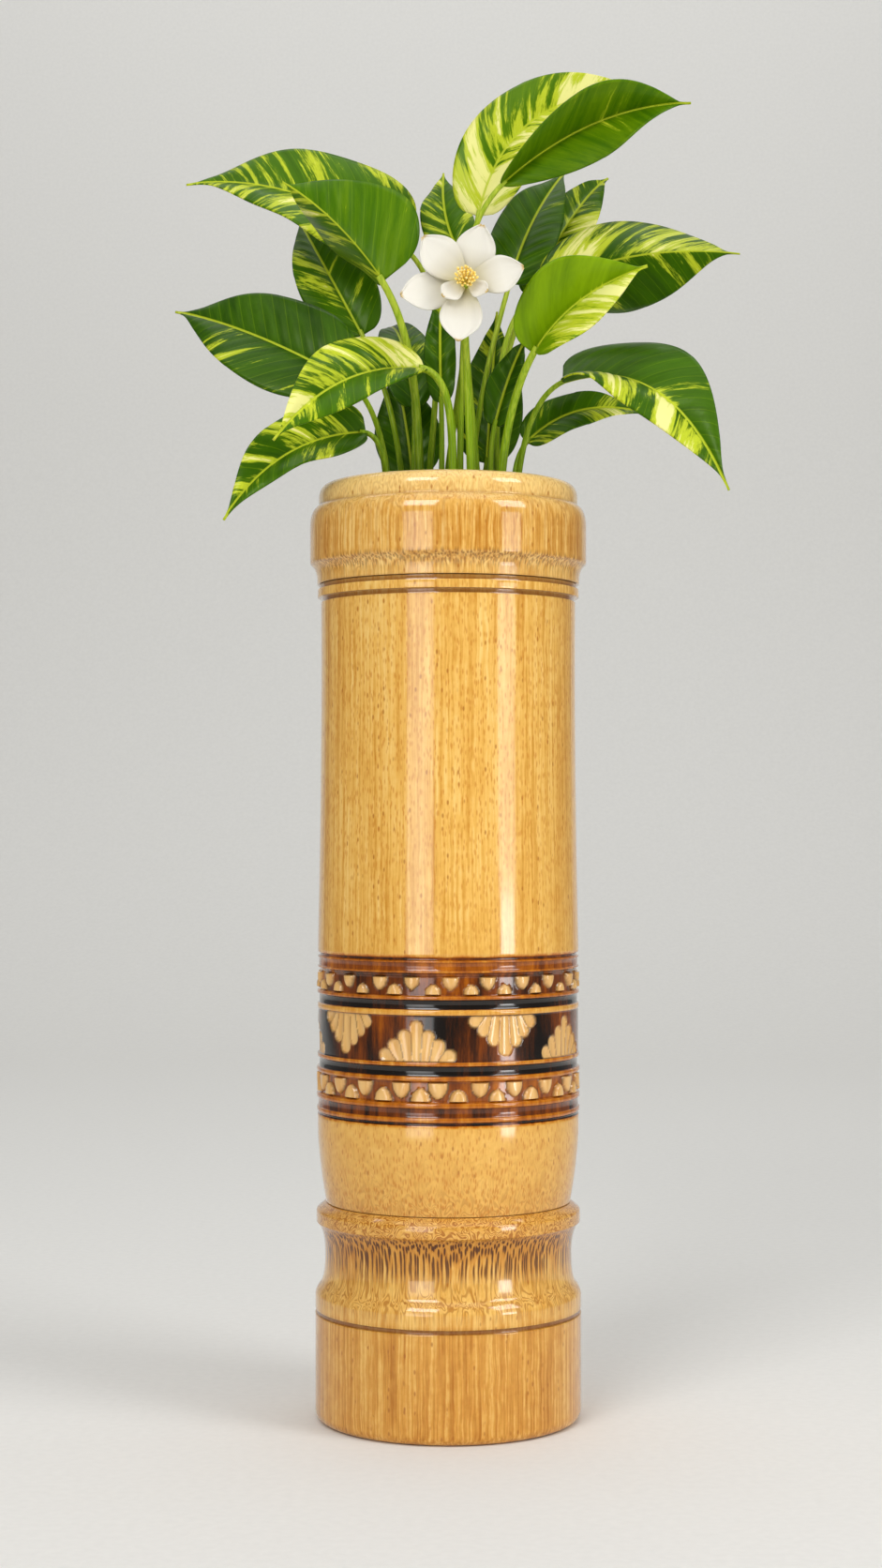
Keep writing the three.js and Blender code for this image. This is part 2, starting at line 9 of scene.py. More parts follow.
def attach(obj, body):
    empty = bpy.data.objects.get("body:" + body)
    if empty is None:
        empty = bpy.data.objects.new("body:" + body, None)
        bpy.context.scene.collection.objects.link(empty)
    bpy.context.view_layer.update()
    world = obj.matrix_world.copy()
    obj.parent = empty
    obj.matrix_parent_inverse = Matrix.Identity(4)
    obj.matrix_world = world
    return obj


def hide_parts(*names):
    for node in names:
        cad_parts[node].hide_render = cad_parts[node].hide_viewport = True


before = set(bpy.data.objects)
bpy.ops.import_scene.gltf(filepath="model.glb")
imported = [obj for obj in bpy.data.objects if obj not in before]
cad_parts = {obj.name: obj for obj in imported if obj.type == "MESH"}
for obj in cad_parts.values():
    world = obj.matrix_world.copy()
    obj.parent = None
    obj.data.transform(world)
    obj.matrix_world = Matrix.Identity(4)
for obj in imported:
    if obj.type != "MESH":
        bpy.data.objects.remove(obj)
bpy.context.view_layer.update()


# Foot: a short, thick length of bamboo cut at a node, so the node's floor closes it inside.
# It is turned to a drum, a bead, a hollow cove and the node's own swelling, and lacquered.
# The pores of the cut fibres show as dark dashes where the cove slopes across the grain.

# Sizes are in millimetres, and MM turns them to metres.
MM = 0.001
FIT_GAP = 0.3
FOOT_RADIUS = 57
FOOT_BORE_RADIUS = 43
FOOT_EDGE_ROUND = 5
DRUM_TOP = 45.6
FOOT_GROOVE_RADIUS = 56.1
BEAD_BOTTOM = 47.4
BEAD_TOP = 55.3
BEAD_ROUND = 2.4
COVE_RADIUS = 52.8
COVE_MIDDLE = 70.6
COVE_LOWER_EASE = 3
COVE_UPPER_EASE = 9
NODE_RADIUS = 56.5
NODE_BOTTOM = 83.5
NODE_TOP = 89.5
NODE_EASE = 0.8
FOOT_TOP = 92.6
SEAT_RADIUS = 52.4
SOCKET_RADIUS = 50.3
SEPTUM_BOTTOM = 72
SEPTUM_TOP = 80
AXIS_PIN = 0.2
EDGE_EASE = 0.35
EDGE_EASE_STEPS = 3
EASE_LIMIT = 0.4
BEND_STEPS = 10
COVE_STEPS = 20
FOOT_STEPS = 256
SECTORS = 16
WELD = 0.001

FOOT_PALE = (236, 190, 104)
FOOT_HONEY = (212, 151, 58)
FOOT_DEEP = (178, 111, 24)
TONE_PLACES = (0.2, 0.5, 0.8)
FIBRE_WANDER = 1.2
FIBRE_CONTRAST = 1.4
STAVE_STRETCH = 0.06
STAVE_CONTRAST = 0.6
CLOUD_CONTRAST = 0.4
CURL_BROWN = (164, 98, 24)
CURL_SCALE = 190
CURL_LINES = 9
CURL_EDGE = (0.32, 0.08)
PORE_BROWN = (78, 36, 0)
PORE_SPACING = 1.2
PORE_EDGE = (0.42, 0.27)
PORE_RIM_EDGE = (0.6, 0.4)
PORE_RIM_STRENGTH = 0.5
PORE_SINK = 0.6
FLECK_BROWN = (164, 94, 24)
FLECK_SPACING = 2.2
FLECK_STRETCH = 0.45
FLECK_EDGE = (0.3, 0.1)
FLECK_CHOICE = (0.95, 1.15)
FLECK_STRENGTH = 0.75
MOTE_BROWN = (196, 124, 40)
MOTE_SPACING = 1.1
MOTE_STRETCH = 0.28
MOTE_EDGE = (0.45, 0.15)
# Painted shade, laid into grooves and creases.
GROOVE_PAINTED_SHADE = (122, 68, 14)
LACQUER = {"Specular IOR Level": 0.05, "Coat Weight": 1, "Coat IOR": 1.5, "Coat Roughness": 0.09}


def tint(red, painted_sunlight, blue):
    """A colour given by its screen values from 0 to 255, as linear light."""
    shares = [value / 255 for value in (red, painted_sunlight, blue)]
    return [s / 12.92 if s <= 0.04045 else ((s + 0.055) / 1.055) ** 2.4 for s in shares] + [1]


def bend(start, control, end, steps=BEND_STEPS):
    """The points after start along a smooth bend to end, pulled towards control."""
    points = []
    for step in range(1, steps + 1):
        t = step / steps
        pairs = zip(start, control, end)
        points.append(tuple((1 - t) ** 2 * a + 2 * t * (1 - t) * b + t * t * c for a, b, c in pairs))
    return points


def traced(outline, *runs):
    """An outline drawn on: a run of one point is a line, and one of control, end and steps is a bend."""
    for run in runs:
        outline = outline + (bend(outline[-1], *run) if len(run) > 1 else list(run))
    return outline


def eased(corners, ease=EDGE_EASE, steps=EDGE_EASE_STEPS):
    """A run of a turned outline with each corner between its ends worn to a small round."""
    points = [corners[0]]
    for before, corner, after in zip(corners, corners[1:], corners[2:]):
        here = Vector(corner)
        back = Vector(before) - here
        ahead = Vector(after) - here
        reach = min(ease, back.length * EASE_LIMIT, ahead.length * EASE_LIMIT)
        start = tuple(here + back.normalized() * reach)
        end = tuple(here + ahead.normalized() * reach)
        points += [start] + bend(start, corner, end, steps)
    return points + [corners[-1]]


def only(kind, parts):
    """The parts of one kind among all that an operator made."""
    return [part for part in parts if isinstance(part, kind)]


def turned(outline, steps):
    """A mesh turned about the upright axis from a closed outline of (radius, height).

    One sector is spun, and its copies are turned on round the axis and joined.
    """
    bm = bmesh.new()
    corners = [bm.verts.new((0, radius * MM, height * MM)) for radius, height in outline]
    sides = [bm.edges.new(pair) for pair in zip(corners, corners[1:] + corners[:1])]
    sector = 2 * math.pi / SECTORS
    bmesh.ops.spin(
        bm, geom=corners + sides, cent=(0, 0, 0), axis=(0, 0, 1), angle=sector, steps=steps // SECTORS,
    )
    spun = bm.verts[:] + bm.edges[:] + bm.faces[:]
    for turn in range(1, SECTORS):
        copied = bmesh.ops.duplicate(bm, geom=spun)["geom"]
        bmesh.ops.rotate(
            bm, verts=only(bmesh.types.BMVert, copied), cent=(0, 0, 0),
            matrix=Matrix.Rotation(sector * turn, 3, "Z"),
        )
    bmesh.ops.remove_doubles(bm, verts=bm.verts, dist=WELD * MM)
    bmesh.ops.recalc_face_normals(bm, faces=bm.faces)
    return bm


def piece_from(name, bm, material, sharp=None):
    """An object at the origin that holds the mesh, smooth but for edges sharper than the angle."""
    mesh = bpy.data.meshes.new(name)
    bm.to_mesh(mesh)
    bm.free()
    mesh.materials.append(material)
    mesh.shade_smooth()
    if sharp:
        mesh.set_sharp_from_angle(angle=math.radians(sharp))
    made = bpy.data.objects.new(name, mesh)
    bpy.context.scene.collection.objects.link(made)
    return made


def plug(tree, made, values):
    """Fills a node's sockets with numbers, colours or the outputs of other nodes."""
    for socket, value in values.items():
        if isinstance(value, bpy.types.NodeSocket):
            tree.links.new(value, made.inputs[socket])
        else:
            made.inputs[socket].default_value = value


def node(tree, kind, values, output=0, **settings):
    """Adds a shader node, fills its sockets and gives one of its outputs."""
    made = tree.nodes.new("ShaderNode" + kind)
    for key, value in settings.items():
        setattr(made, key, value)
    plug(tree, made, values)
    return made.outputs[output]


def new_material(name):
    """A bare material, its node tree, its shader and the piece's own coordinates."""
    material = bpy.data.materials.new(name)
    material.use_nodes = True
    tree = material.node_tree
    return material, tree, tree.nodes["Principled BSDF"], node(tree, "TexCoord", {}, "Object")


def maths(tree, operation, first, second=0, third=0):
    """One sum, product or the like of numbers or sockets."""
    return node(tree, "Math", {0: first, 1: second, 2: third}, operation=operation)


def vectors(tree, operation, first, second):
    """One sum, difference or product of coordinates."""
    return node(tree, "VectorMath", {0: first, 1: second}, operation=operation)


def stretched(tree, place, scale):
    """Coordinates scaled along each axis, so that a pattern on them is stretched."""
    return vectors(tree, "MULTIPLY", place, scale)


def noisy(tree, place, scale, detail, roughness=0.5, distortion=0, **more):
    """A soft random pattern from 0 to 1 over the coordinates."""
    values = {"Vector": place, "Scale": scale, "Detail": detail}
    return node(tree, "TexNoise", {**values, "Roughness": roughness, "Distortion": distortion}, **more)


def cells(tree, place, spacing, randomness=1, **more):
    """The distance to the nearest of many scattered points, about a spacing in millimetres apart."""
    values = {"Vector": place, "Scale": 1 / spacing / MM, "Randomness": randomness}
    return node(tree, "TexVoronoi", values, **more)


def chance(tree, cell):
    """A random value for each whole cell."""
    return node(tree, "SeparateColor", {0: cell.node.outputs["Color"]})


def swung(tree, pattern, contrast, onto=0):
    """A value moved up and down as a pattern swings about its middle."""
    return maths(tree, "MULTIPLY_ADD", maths(tree, "SUBTRACT", pattern, 0.5), contrast, onto)


def step_up(tree, value, low, high):
    """0 below low, 1 above high, and a smooth rise between; low may be the higher."""
    values = {"Value": value, "From Min": low, "From Max": high}
    return node(tree, "MapRange", values, interpolation_type="SMOOTHSTEP")


def washed(tree, colour, over, *strengths):
    """A colour with another laid over it, as strongly as the product of the strengths."""
    factor = strengths[0]
    for strength in strengths[1:]:
        factor = maths(tree, "MULTIPLY", factor, strength)
    return node(tree, "Mix", {0: factor, 6: colour, 7: over}, 2, data_type="RGBA")


def colour_run(tree, factor, stops):
    """A run of colours along a factor, from stops of (place, linear colour)."""
    made = node(tree, "ValToRGB", {"Fac": factor})
    elements = made.node.color_ramp.elements
    elements.remove(elements[1])
    for i, (place, colour) in enumerate(stops):
        element = elements[0] if i == 0 else elements.new(place)
        element.position = place
        element.color = colour
    return made


def ramp(tree, factor, *stops):
    """A run of colours along a factor, from stops of (place, screen colour)."""
    return colour_run(tree, factor, [(place, tint(*colour)) for place, colour in stops])


def along_height(tree, place, stops):
    """A value that follows the height, from stops of (height, value)."""
    low, high = stops[0][0], stops[-1][0]
    height = node(tree, "SeparateXYZ", {0: place}, "Z")
    share = node(tree, "MapRange", {"Value": height, "From Min": low * MM, "From Max": high * MM})
    greys = [((level - low) / (high - low), (value, value, value, 1)) for level, value in stops]
    return node(tree, "RGBToBW", {0: colour_run(tree, share, greys)})


def bumps(tree, height, strength, depth):
    """Fine relief that only the light sees, up to a depth in millimetres."""
    return node(tree, "Bump", {"Height": height, "Strength": strength, "Distance": depth * MM})


def grain_run(knots):
    """How far the grain has run up to each height, from stops of (height, how knotted it is)."""
    rows = [(knots[0][0], 0)]
    for (low, first), (high, second) in zip(knots, knots[1:]):
        rows.append((high, rows[-1][1] + (high - low) * (first + second) / 2))
    return rows


def bamboo(
    name, pale, honey, deep, paleness_and_painted_light, fibres, pores, knots, curls, flecks, motes, groove_shade, finish=None,
):
    """Lacquered bamboo: upright fibres, the pores between them, flecks, and a clear glossy coat.

    The fibres run up through the wall, so a side shows them as lines and a slope cuts them to dots.
    The paleness by height, which also paints light and shade on some turned parts, the strength of fibres,
    pores and curls, how knotted the grain is, flecks, fainter motes and the painted shade laid in grooves
    and creases are each stops of (height, value). A finish goes on last.
    """
    material, tree, shader, place = new_material(name)

    def level(stops):
        return along_height(tree, place, stops)

    wander = vectors(tree, "SUBTRACT", noisy(tree, place, 90, 1, output="Color"), (0.5, 0.5, 0.5))
    wander = stretched(tree, wander, (FIBRE_WANDER * MM, FIBRE_WANDER * MM, 0))
    strand = stretched(tree, vectors(tree, "ADD", place, wander), (1, 1, 0))
    rows = grain_run(knots)
    top_run = rows[-1][1]
    run = maths(tree, "MULTIPLY", level([(height, count / top_run) for height, count in rows]), top_run * MM)
    grain = vectors(tree, "ADD", strand, node(tree, "CombineXYZ", {"Z": run}))

    fibre = noisy(tree, grain, scale=900, detail=3, roughness=0.6)
    stave = noisy(tree, stretched(tree, place, (1, 1, STAVE_STRETCH)), scale=110, detail=2)
    cloud = noisy(tree, place, scale=160, detail=5, roughness=0.65)
    lines = swung(tree, stave, STAVE_CONTRAST, swung(tree, fibre, FIBRE_CONTRAST))
    # The tone follows the height: mostly the bamboo's own, with painted light on some roundings.
    tone = maths(tree, "MULTIPLY_ADD", lines, level(fibres), level(paleness_and_painted_light))
    tone = swung(tree, cloud, CLOUD_CONTRAST, tone)
    colour = ramp(tree, tone, *zip(TONE_PLACES, (deep, honey, pale)))

    swirl = noisy(tree, grain, CURL_SCALE, detail=1, distortion=1)
    swirl = maths(tree, "PINGPONG", maths(tree, "MULTIPLY", swirl, CURL_LINES), 0.5)
    colour = washed(tree, colour, tint(*CURL_BROWN), step_up(tree, swirl, *CURL_EDGE), level(curls))

    bundle = cells(tree, strand, PORE_SPACING, randomness=0.9, voronoi_dimensions="2D")
    rim = step_up(tree, bundle, *PORE_RIM_EDGE)
    colour = washed(tree, colour, tint(*deep), rim, level(pores), PORE_RIM_STRENGTH)
    pore = maths(tree, "MULTIPLY", step_up(tree, bundle, *PORE_EDGE), level(pores))
    colour = washed(tree, colour, tint(*PORE_BROWN), pore)

    speck = cells(tree, stretched(tree, place, (1, 1, FLECK_STRETCH)), FLECK_SPACING)
    chosen = step_up(tree, maths(tree, "ADD", chance(tree, speck), level(flecks)), *FLECK_CHOICE)
    fleck = step_up(tree, speck, *FLECK_EDGE)
    colour = washed(tree, colour, tint(*FLECK_BROWN), fleck, chosen, FLECK_STRENGTH)
    mote = step_up(tree, cells(tree, stretched(tree, place, (1, 1, MOTE_STRETCH)), MOTE_SPACING), *MOTE_EDGE)
    colour = washed(tree, colour, tint(*MOTE_BROWN), mote, level(motes))
    # Painted shade: grooves and creases are darkened where shade falls in them.
    colour = washed(tree, colour, tint(*GROOVE_PAINTED_SHADE), level(groove_shade))

    rough = {"Value": fibre, "From Min": 0.3, "From Max": 0.7, "To Min": 0.26, "To Max": 0.4}
    pitted = maths(tree, "MULTIPLY_ADD", pore, -PORE_SINK, fibre)
    plug(tree, shader, {
        "Base Color": finish(tree, place, colour) if finish else colour,
        "Roughness": node(tree, "MapRange", rough),
        "Normal": bumps(tree, pitted, strength=0.12, depth=0.2),
        **LACQUER,
    })
    return material


foot_outline = traced(
    eased([
        (FOOT_RADIUS, FOOT_EDGE_ROUND), (FOOT_RADIUS, DRUM_TOP - 3 * EDGE_EASE), (FOOT_RADIUS, DRUM_TOP),
        (FOOT_GROOVE_RADIUS, DRUM_TOP), (FOOT_GROOVE_RADIUS, BEAD_BOTTOM), (FOOT_RADIUS, BEAD_BOTTOM),
        (FOOT_RADIUS, BEAD_TOP - BEAD_ROUND),
    ]),
    ((FOOT_RADIUS, BEAD_TOP), (FOOT_RADIUS - BEAD_ROUND, BEAD_TOP + COVE_LOWER_EASE)),
    ((COVE_RADIUS, BEAD_TOP + 2 * COVE_LOWER_EASE), (COVE_RADIUS, COVE_MIDDLE), COVE_STEPS),
    ((COVE_RADIUS, COVE_MIDDLE + COVE_UPPER_EASE), (NODE_RADIUS - NODE_EASE, NODE_BOTTOM), COVE_STEPS),
)
foot_outline += eased([
    (NODE_RADIUS - NODE_EASE / 2, NODE_BOTTOM + NODE_EASE / 2), (NODE_RADIUS, NODE_BOTTOM + NODE_EASE),
    (NODE_RADIUS, NODE_TOP), (SEAT_RADIUS + FIT_GAP, FOOT_TOP), (SOCKET_RADIUS, FOOT_TOP),
    (SOCKET_RADIUS, SEPTUM_TOP), (AXIS_PIN, SEPTUM_TOP), (AXIS_PIN, SEPTUM_BOTTOM),
    (FOOT_BORE_RADIUS, SEPTUM_BOTTOM), (FOOT_BORE_RADIUS, 0), (FOOT_RADIUS - FOOT_EDGE_ROUND, 0),
], ease=NODE_EASE)
foot_outline += bend(foot_outline[-1], (FOOT_RADIUS, 0), (FOOT_RADIUS, FOOT_EDGE_ROUND))[:-1]

foot_bamboo = bamboo(
    "lacquered_foot_bamboo", FOOT_PALE, FOOT_HONEY, FOOT_DEEP,
    # Paler over the bead, a painted highlight, and darker down the cove under the node.
    paleness_and_painted_light=[(0, 0.46), (46, 0.5), (50, 0.68), (56, 0.7), (62, 0.7), (68, 0.58), (78, 0.36),
              (83, 0.38), (85, 0.6), (93, 0.6)],
    fibres=[(0, 1), (46, 1), (53, 0.8), (56, 0.3), (62, 0.4), (70, 0.8), (84, 0.3), (93, 0.3)],
    pores=[(0, 0), (62, 0), (66, 0.3), (70, 0.85), (82, 1), (83.5, 0.6), (84.5, 0)],
    knots=[(0, 0.015), (60, 0.02), (82, 0.02), (84, 0.9), (93, 0.9)],
    curls=[(0, 0), (49, 0.1), (52, 0.5), (58, 0.7), (64, 0.5), (68, 0.1), (82, 0.1), (84, 0.9), (93, 0.9)],
    flecks=[(0, 0.4), (46, 0.3), (93, 0.2)],
    motes=[(0, 0.4), (46, 0.3), (60, 0.1), (93, 0.1)],
    # Painted shade in the groove between the drum and the bead.
    groove_shade=[(44, 0), (45.5, 0.1), (45.8, 0.85), (47.2, 0.75), (47.5, 0.1), (49, 0)],
)
foot = piece_from("foot", turned(foot_outline, FOOT_STEPS), foot_bamboo, sharp=40)
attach(foot, "pot")
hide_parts("foot_base")


# Culm: one long joint of bamboo, turned outside, with a spigot at each end for the foot and the collar.
# Its band is ringed with grooves, scorched brown and black, and carved through to the pale wood:
# two rows of rounded teeth left proud, and between them gouged fans that hang and stand in turn.

CULM_RADIUS = 56
CULM_BORE_RADIUS = 44.5
SPIGOT_RADIUS = 50
SPIGOT_BOTTOM = 80.6
SEAT = 92.9
BULB_TOP = 122
BULB_CONTROL = (55, 106)
BAND_BOTTOM = 130.6
SHAFT_TOP = 349
SHAFT_TOP_RADIUS = 54.75
SHAFT_STEPS = 8
WAIST_RADIUS = 54.2
WAIST_RISE = 90
NECK_GROOVE_HEIGHT = 1.85
NECK_GROOVE_DEPTH = 0.8
NECK_RING_HEIGHT = 3.6
NECK_RING_RADIUS = 56.2
COLLAR_SPIGOT_RADIUS = 52
CULM_TOP = 386
CULM_STEPS = 544
# Each zone of the band, from its foot up: name, height, how far it stands out, and how scorched it is.
BAND_ZONES = [
    ("lower groove", 1.1, -0.5, 0.85),
    ("lower fillet", 2, 0.3, 0.38),
    ("lower brown ring", 3.9, -0.3, 0.69),
    ("fillet over the brown ring", 2.1, 0.4, 0.38),
    ("lower tooth row", 9, -1.4, 0.53),
    ("fillet over the teeth", 1.9, 0.4, 0.37),
    ("lower dark ring", 4.1, -0.7, 1.05),
    ("fillet under the fans", 1.7, 0.1, 0.34),
    ("fan field", 19.2, -0.2, 0.84),
    ("fillet over the fans", 2.2, 0.1, 0.17),
    ("upper dark ring", 4, -0.7, 1.05),
    ("fillet under the teeth", 1.6, 0.2, 0.42),
    ("upper tooth row", 8.2, -1.4, 0.7),
    ("second groove", 1.2, -0.9, 0.7),
    ("ridge over the teeth", 0.9, 0, 0.4),
    ("upper brown ring", 3.4, -0.5, 0.55),
    ("upper ridge", 0.9, 0, 0.42),
    ("upper groove", 1.2, -1, 0.75),
]
CARVED = ("lower tooth row", "fan field", "upper tooth row")
CARVE_STEP = 0.57
CARVE_MARGIN = 0.5
FAR = 99
# Each row of teeth: its zone, their count, width and height, and where a hanging one lies, in degrees.
TOOTH_ROWS = [
    ("upper tooth row", 22, 6.9, 5.7, 1),
    ("lower tooth row", 21, 8.2, 7, -3.8),
]
TOOTH_STRAY = 0.8
TOOTH_SIZES = (0.92, 1.06)
TOOTH_REACH = 10
TOOTH_SHOULDER = 2.6
TOOTH_POINT = 0.62
TOOTH_RISE = 1.85
TOOTH_ROUND = 3
TOOTH_BLUNTNESS = 0.6
# Painted shade: less pale wood shows at a tooth's sides than at its middle, so it reads as domed.
TOOTH_SHADED_SIDE_CUT = 0.75
STANDING_SHARE = 0.84
HANGING_FANS = (-50, 25, 101, 173, 240)
STANDING_FANS = (-13.6, 61, 137, 206, 274)
# A fan's gouge cuts: where each ends from its middle, its width there, and how long it is.
HANGING_CUTS = [
    (-13.2, 5.4, 5), (-9.5, 5.6, 8.8), (-5.1, 5.9, 12.6), (0, 6.4, 17),
    (4.8, 5.8, 13.3), (8.8, 5.5, 9.6), (12.3, 5.4, 5.8),
]
STANDING_CUTS = [
    (-13.8, 5.6, 5.6), (-9.5, 6, 9.6), (-5, 6, 13.4), (0, 5.6, 17.2),
    (4.8, 6, 13.2), (9.2, 6.2, 9.6), (13.8, 5.8, 5.4),
]
CUT_ROOT_SHARE = 0.76
CUT_ROOT_GIRTH = 0.82
FAN_REACH = 22
FAN_DEPTH = 1.1
FAN_EDGE = 0.6
FAN_EDGE_DEPTH = 0.25
FLUTE_SHALLOW = 0.4
RIDGE_WIDTH = 0.1
RIDGE_CUT = 0.45
FIGURE_INSIDE = 0.05
FIGURE_SEAM = 0.2
SEAM_CUT = 0.25
SEAM_SCORCH = 0.8
SNAP_SHARE = 0.55
RIDGE_SNAP_SHARE = 0.5
SNAP_PROBE = 0.05
LEAST_STEEPNESS = 0.2

HONEY_PALE = (241, 203, 122)
HONEY = (227, 175, 84)
HONEY_DEEP = (198, 136, 44)
SCORCH_BROWNS = [
    (0.15, (208, 138, 36)), (0.4, (178, 98, 4)), (0.62, (122, 56, 0)), (0.82, (60, 25, 0)), (1, (14, 5, 0)),
]
SCORCH_SHOWS = (0.02, 0.34)
SCORCH_STREAK_STRETCH = 0.15
SCORCH_STREAKED = (0.02, 0.3)
SCORCH_PATCH_STRETCH = 0.5
SCORCH_PATCHED = (0.5, 0.8)
SCORCH_BLEED = 3.2
BLEED_SCORCH = 0.42
BLEED_FADE = 3
CUT_WOOD = (227, 182, 114)
CUT_WOOD_DEEP = (212, 158, 86)
CUT_WOOD_STRETCH = 0.12

rng = random.Random(11)


def tooth_level(across, up, width, height):
    """Below 0 inside a tooth that is flat at its root and comes to a rounded point."""
    if up < 0:
        return max(abs(across) - width / 2, -up)
    share = min(1, up / height)
    half = width / 2 * (1 - share ** TOOTH_SHOULDER) ** TOOTH_POINT
    return abs(across) - half + max(0, up - height)


def cut_level(across, up, cuts):
    """Below 0 inside a fan of gouge cuts, with the place across its own cut and the way to the ridge."""
    ranked = []
    for end, width, length in cuts:
        radius = width / 2
        root = end * CUT_ROOT_SHARE
        run_across, run_up = end - root, length - radius
        run = math.hypot(run_across, run_up)
        share = ((across - root) * run_across + up * run_up) / run ** 2
        share = min(1, max(0, share))
        off_across, off_up = across - root - share * run_across, up - share * run_up
        girth = radius * (CUT_ROOT_GIRTH + (1 - CUT_ROOT_GIRTH) * share)
        outside = math.hypot(off_across, off_up) - girth
        ranked.append((outside, (off_across * run_up - off_up * run_across) / run / girth))
    (best, spread), (second, _) = sorted(ranked)[:2]
    return best, spread, math.copysign((second - best) / 2, spread)


zone_spans = {}
culm_outline = traced(
    [(SPIGOT_RADIUS, SPIGOT_BOTTOM), (SPIGOT_RADIUS, SEAT), (SEAT_RADIUS, SEAT)],
    (BULB_CONTROL, (CULM_RADIUS, BULB_TOP)),
    ((CULM_RADIUS, BAND_BOTTOM - SCORCH_BLEED),),
    ((CULM_RADIUS, BAND_BOTTOM - SCORCH_BLEED / 2),),
)
band_corners = [culm_outline[-1], (CULM_RADIUS, BAND_BOTTOM)]
band_top = BAND_BOTTOM
for name, height, proud, scorch in BAND_ZONES:
    low, band_top = band_top, band_top + height
    zone_spans[name] = (low, band_top, CULM_RADIUS + proud, scorch)
    band_corners += [(CULM_RADIUS + proud, low), (CULM_RADIUS + proud, band_top)]
band_corners += [(CULM_RADIUS, band_top), (CULM_RADIUS, band_top + 1)]
for radius, height in eased(band_corners, steps=1)[1:-1]:
    below = culm_outline[-1][1]
    for name in CARVED:
        low, high, ground, scorch = zone_spans[name]
        if low < below < height < high:
            rows = round((height - below) / CARVE_STEP)
            culm_outline += [(radius, below + (height - below) * row / rows) for row in range(1, rows)]
    culm_outline.append((radius, height))
culm_outline = traced(
    culm_outline,
    ((CULM_RADIUS, band_top + SCORCH_BLEED / 2),),
    ((CULM_RADIUS, band_top + SCORCH_BLEED),),
    ((WAIST_RADIUS, band_top + WAIST_RISE), (SHAFT_TOP_RADIUS, SHAFT_TOP - NODE_EASE), SHAFT_STEPS),
)
neck_ring_bottom = SHAFT_TOP + NECK_GROOVE_HEIGHT
neck_ring_top = neck_ring_bottom + NECK_RING_HEIGHT
culm_shoulder = neck_ring_top + NECK_GROOVE_HEIGHT
neck_radius = SHAFT_TOP_RADIUS - NECK_GROOVE_DEPTH
ring_groove_radius = NECK_RING_RADIUS - NECK_GROOVE_DEPTH
culm_outline += eased([
    culm_outline[-1], (SHAFT_TOP_RADIUS, SHAFT_TOP), (neck_radius, SHAFT_TOP),
    (neck_radius, neck_ring_bottom), (NECK_RING_RADIUS, neck_ring_bottom), (NECK_RING_RADIUS, neck_ring_top),
    (ring_groove_radius, neck_ring_top), (ring_groove_radius, culm_shoulder),
], steps=2)[1:]
culm_outline += [
    (COLLAR_SPIGOT_RADIUS, culm_shoulder), (COLLAR_SPIGOT_RADIUS, CULM_TOP),
    (CULM_BORE_RADIUS, CULM_TOP), (CULM_BORE_RADIUS, SPIGOT_BOTTOM),
]

culm_mesh = turned(culm_outline, CULM_STEPS)
scorch_layer = culm_mesh.verts.layers.float.new("scorch")
cut_layer = culm_mesh.verts.layers.float.new("cut")

teeth = {name: [] for name in CARVED}
for name, count, width, height, start in TOOTH_ROWS:
    low, high, ground, scorch = zone_spans[name]
    for i in range(2 * count):
        hanging = i % 2 == 0
        angle = math.radians(start + 180 * i / count + rng.uniform(-TOOTH_STRAY, TOOTH_STRAY))
        size = rng.uniform(*TOOTH_SIZES)
        tall = height * size * (1 if hanging else STANDING_SHARE)
        teeth[name].append((angle, high if hanging else low, -1 if hanging else 1, width * size, tall))
fans = [(math.radians(a), zone_spans["fan field"][1], -1, HANGING_CUTS) for a in HANGING_FANS]
fans += [(math.radians(a), zone_spans["fan field"][0], 1, STANDING_CUTS) for a in STANDING_FANS]


def arc_between(angle, middle):
    """The short way round the culm from one angle to another, in millimetres."""
    return ((angle - middle + math.pi) % (2 * math.pi) - math.pi) * CULM_RADIUS


def carving(zone, angle, height):
    """The level of the nearest carved figure at a point, its place across its cut, and the way to a ridge."""
    best, spread, ridge = FAR, 0, FAR
    if zone == "fan field":
        for middle, root, way, cuts in fans:
            across = arc_between(angle, middle)
            if abs(across) < FAN_REACH:
                found = cut_level(across, (height - root) * way, cuts)
                best, spread, ridge = min((best, spread, ridge), found)
    else:
        for middle, root, way, width, tall in teeth[zone]:
            across = arc_between(angle, middle)
            if abs(across) < TOOTH_REACH:
                best = min(best, tooth_level(across, (height - root) * way, width, tall))
    return best, spread, ridge


def snapped(zone, angle, height):
    """A point moved onto a carved figure's edge or ridge if it lies within about half a step of it."""
    outside, spread, ridge = carving(zone, angle, height)
    if outside < -SNAP_SHARE * CARVE_STEP and abs(ridge) < RIDGE_SNAP_SHARE * CARVE_STEP:
        return angle + ridge / CULM_RADIUS, height
    if abs(outside) > SNAP_SHARE * CARVE_STEP:
        return angle, height
    slope_across = (carving(zone, angle + SNAP_PROBE / CULM_RADIUS, height)[0] - outside) / SNAP_PROBE
    slope_up = (carving(zone, angle, height + SNAP_PROBE)[0] - outside) / SNAP_PROBE
    steepness = max(slope_across ** 2 + slope_up ** 2, LEAST_STEEPNESS)
    return angle - outside * slope_across / steepness / CULM_RADIUS, height - outside * slope_up / steepness


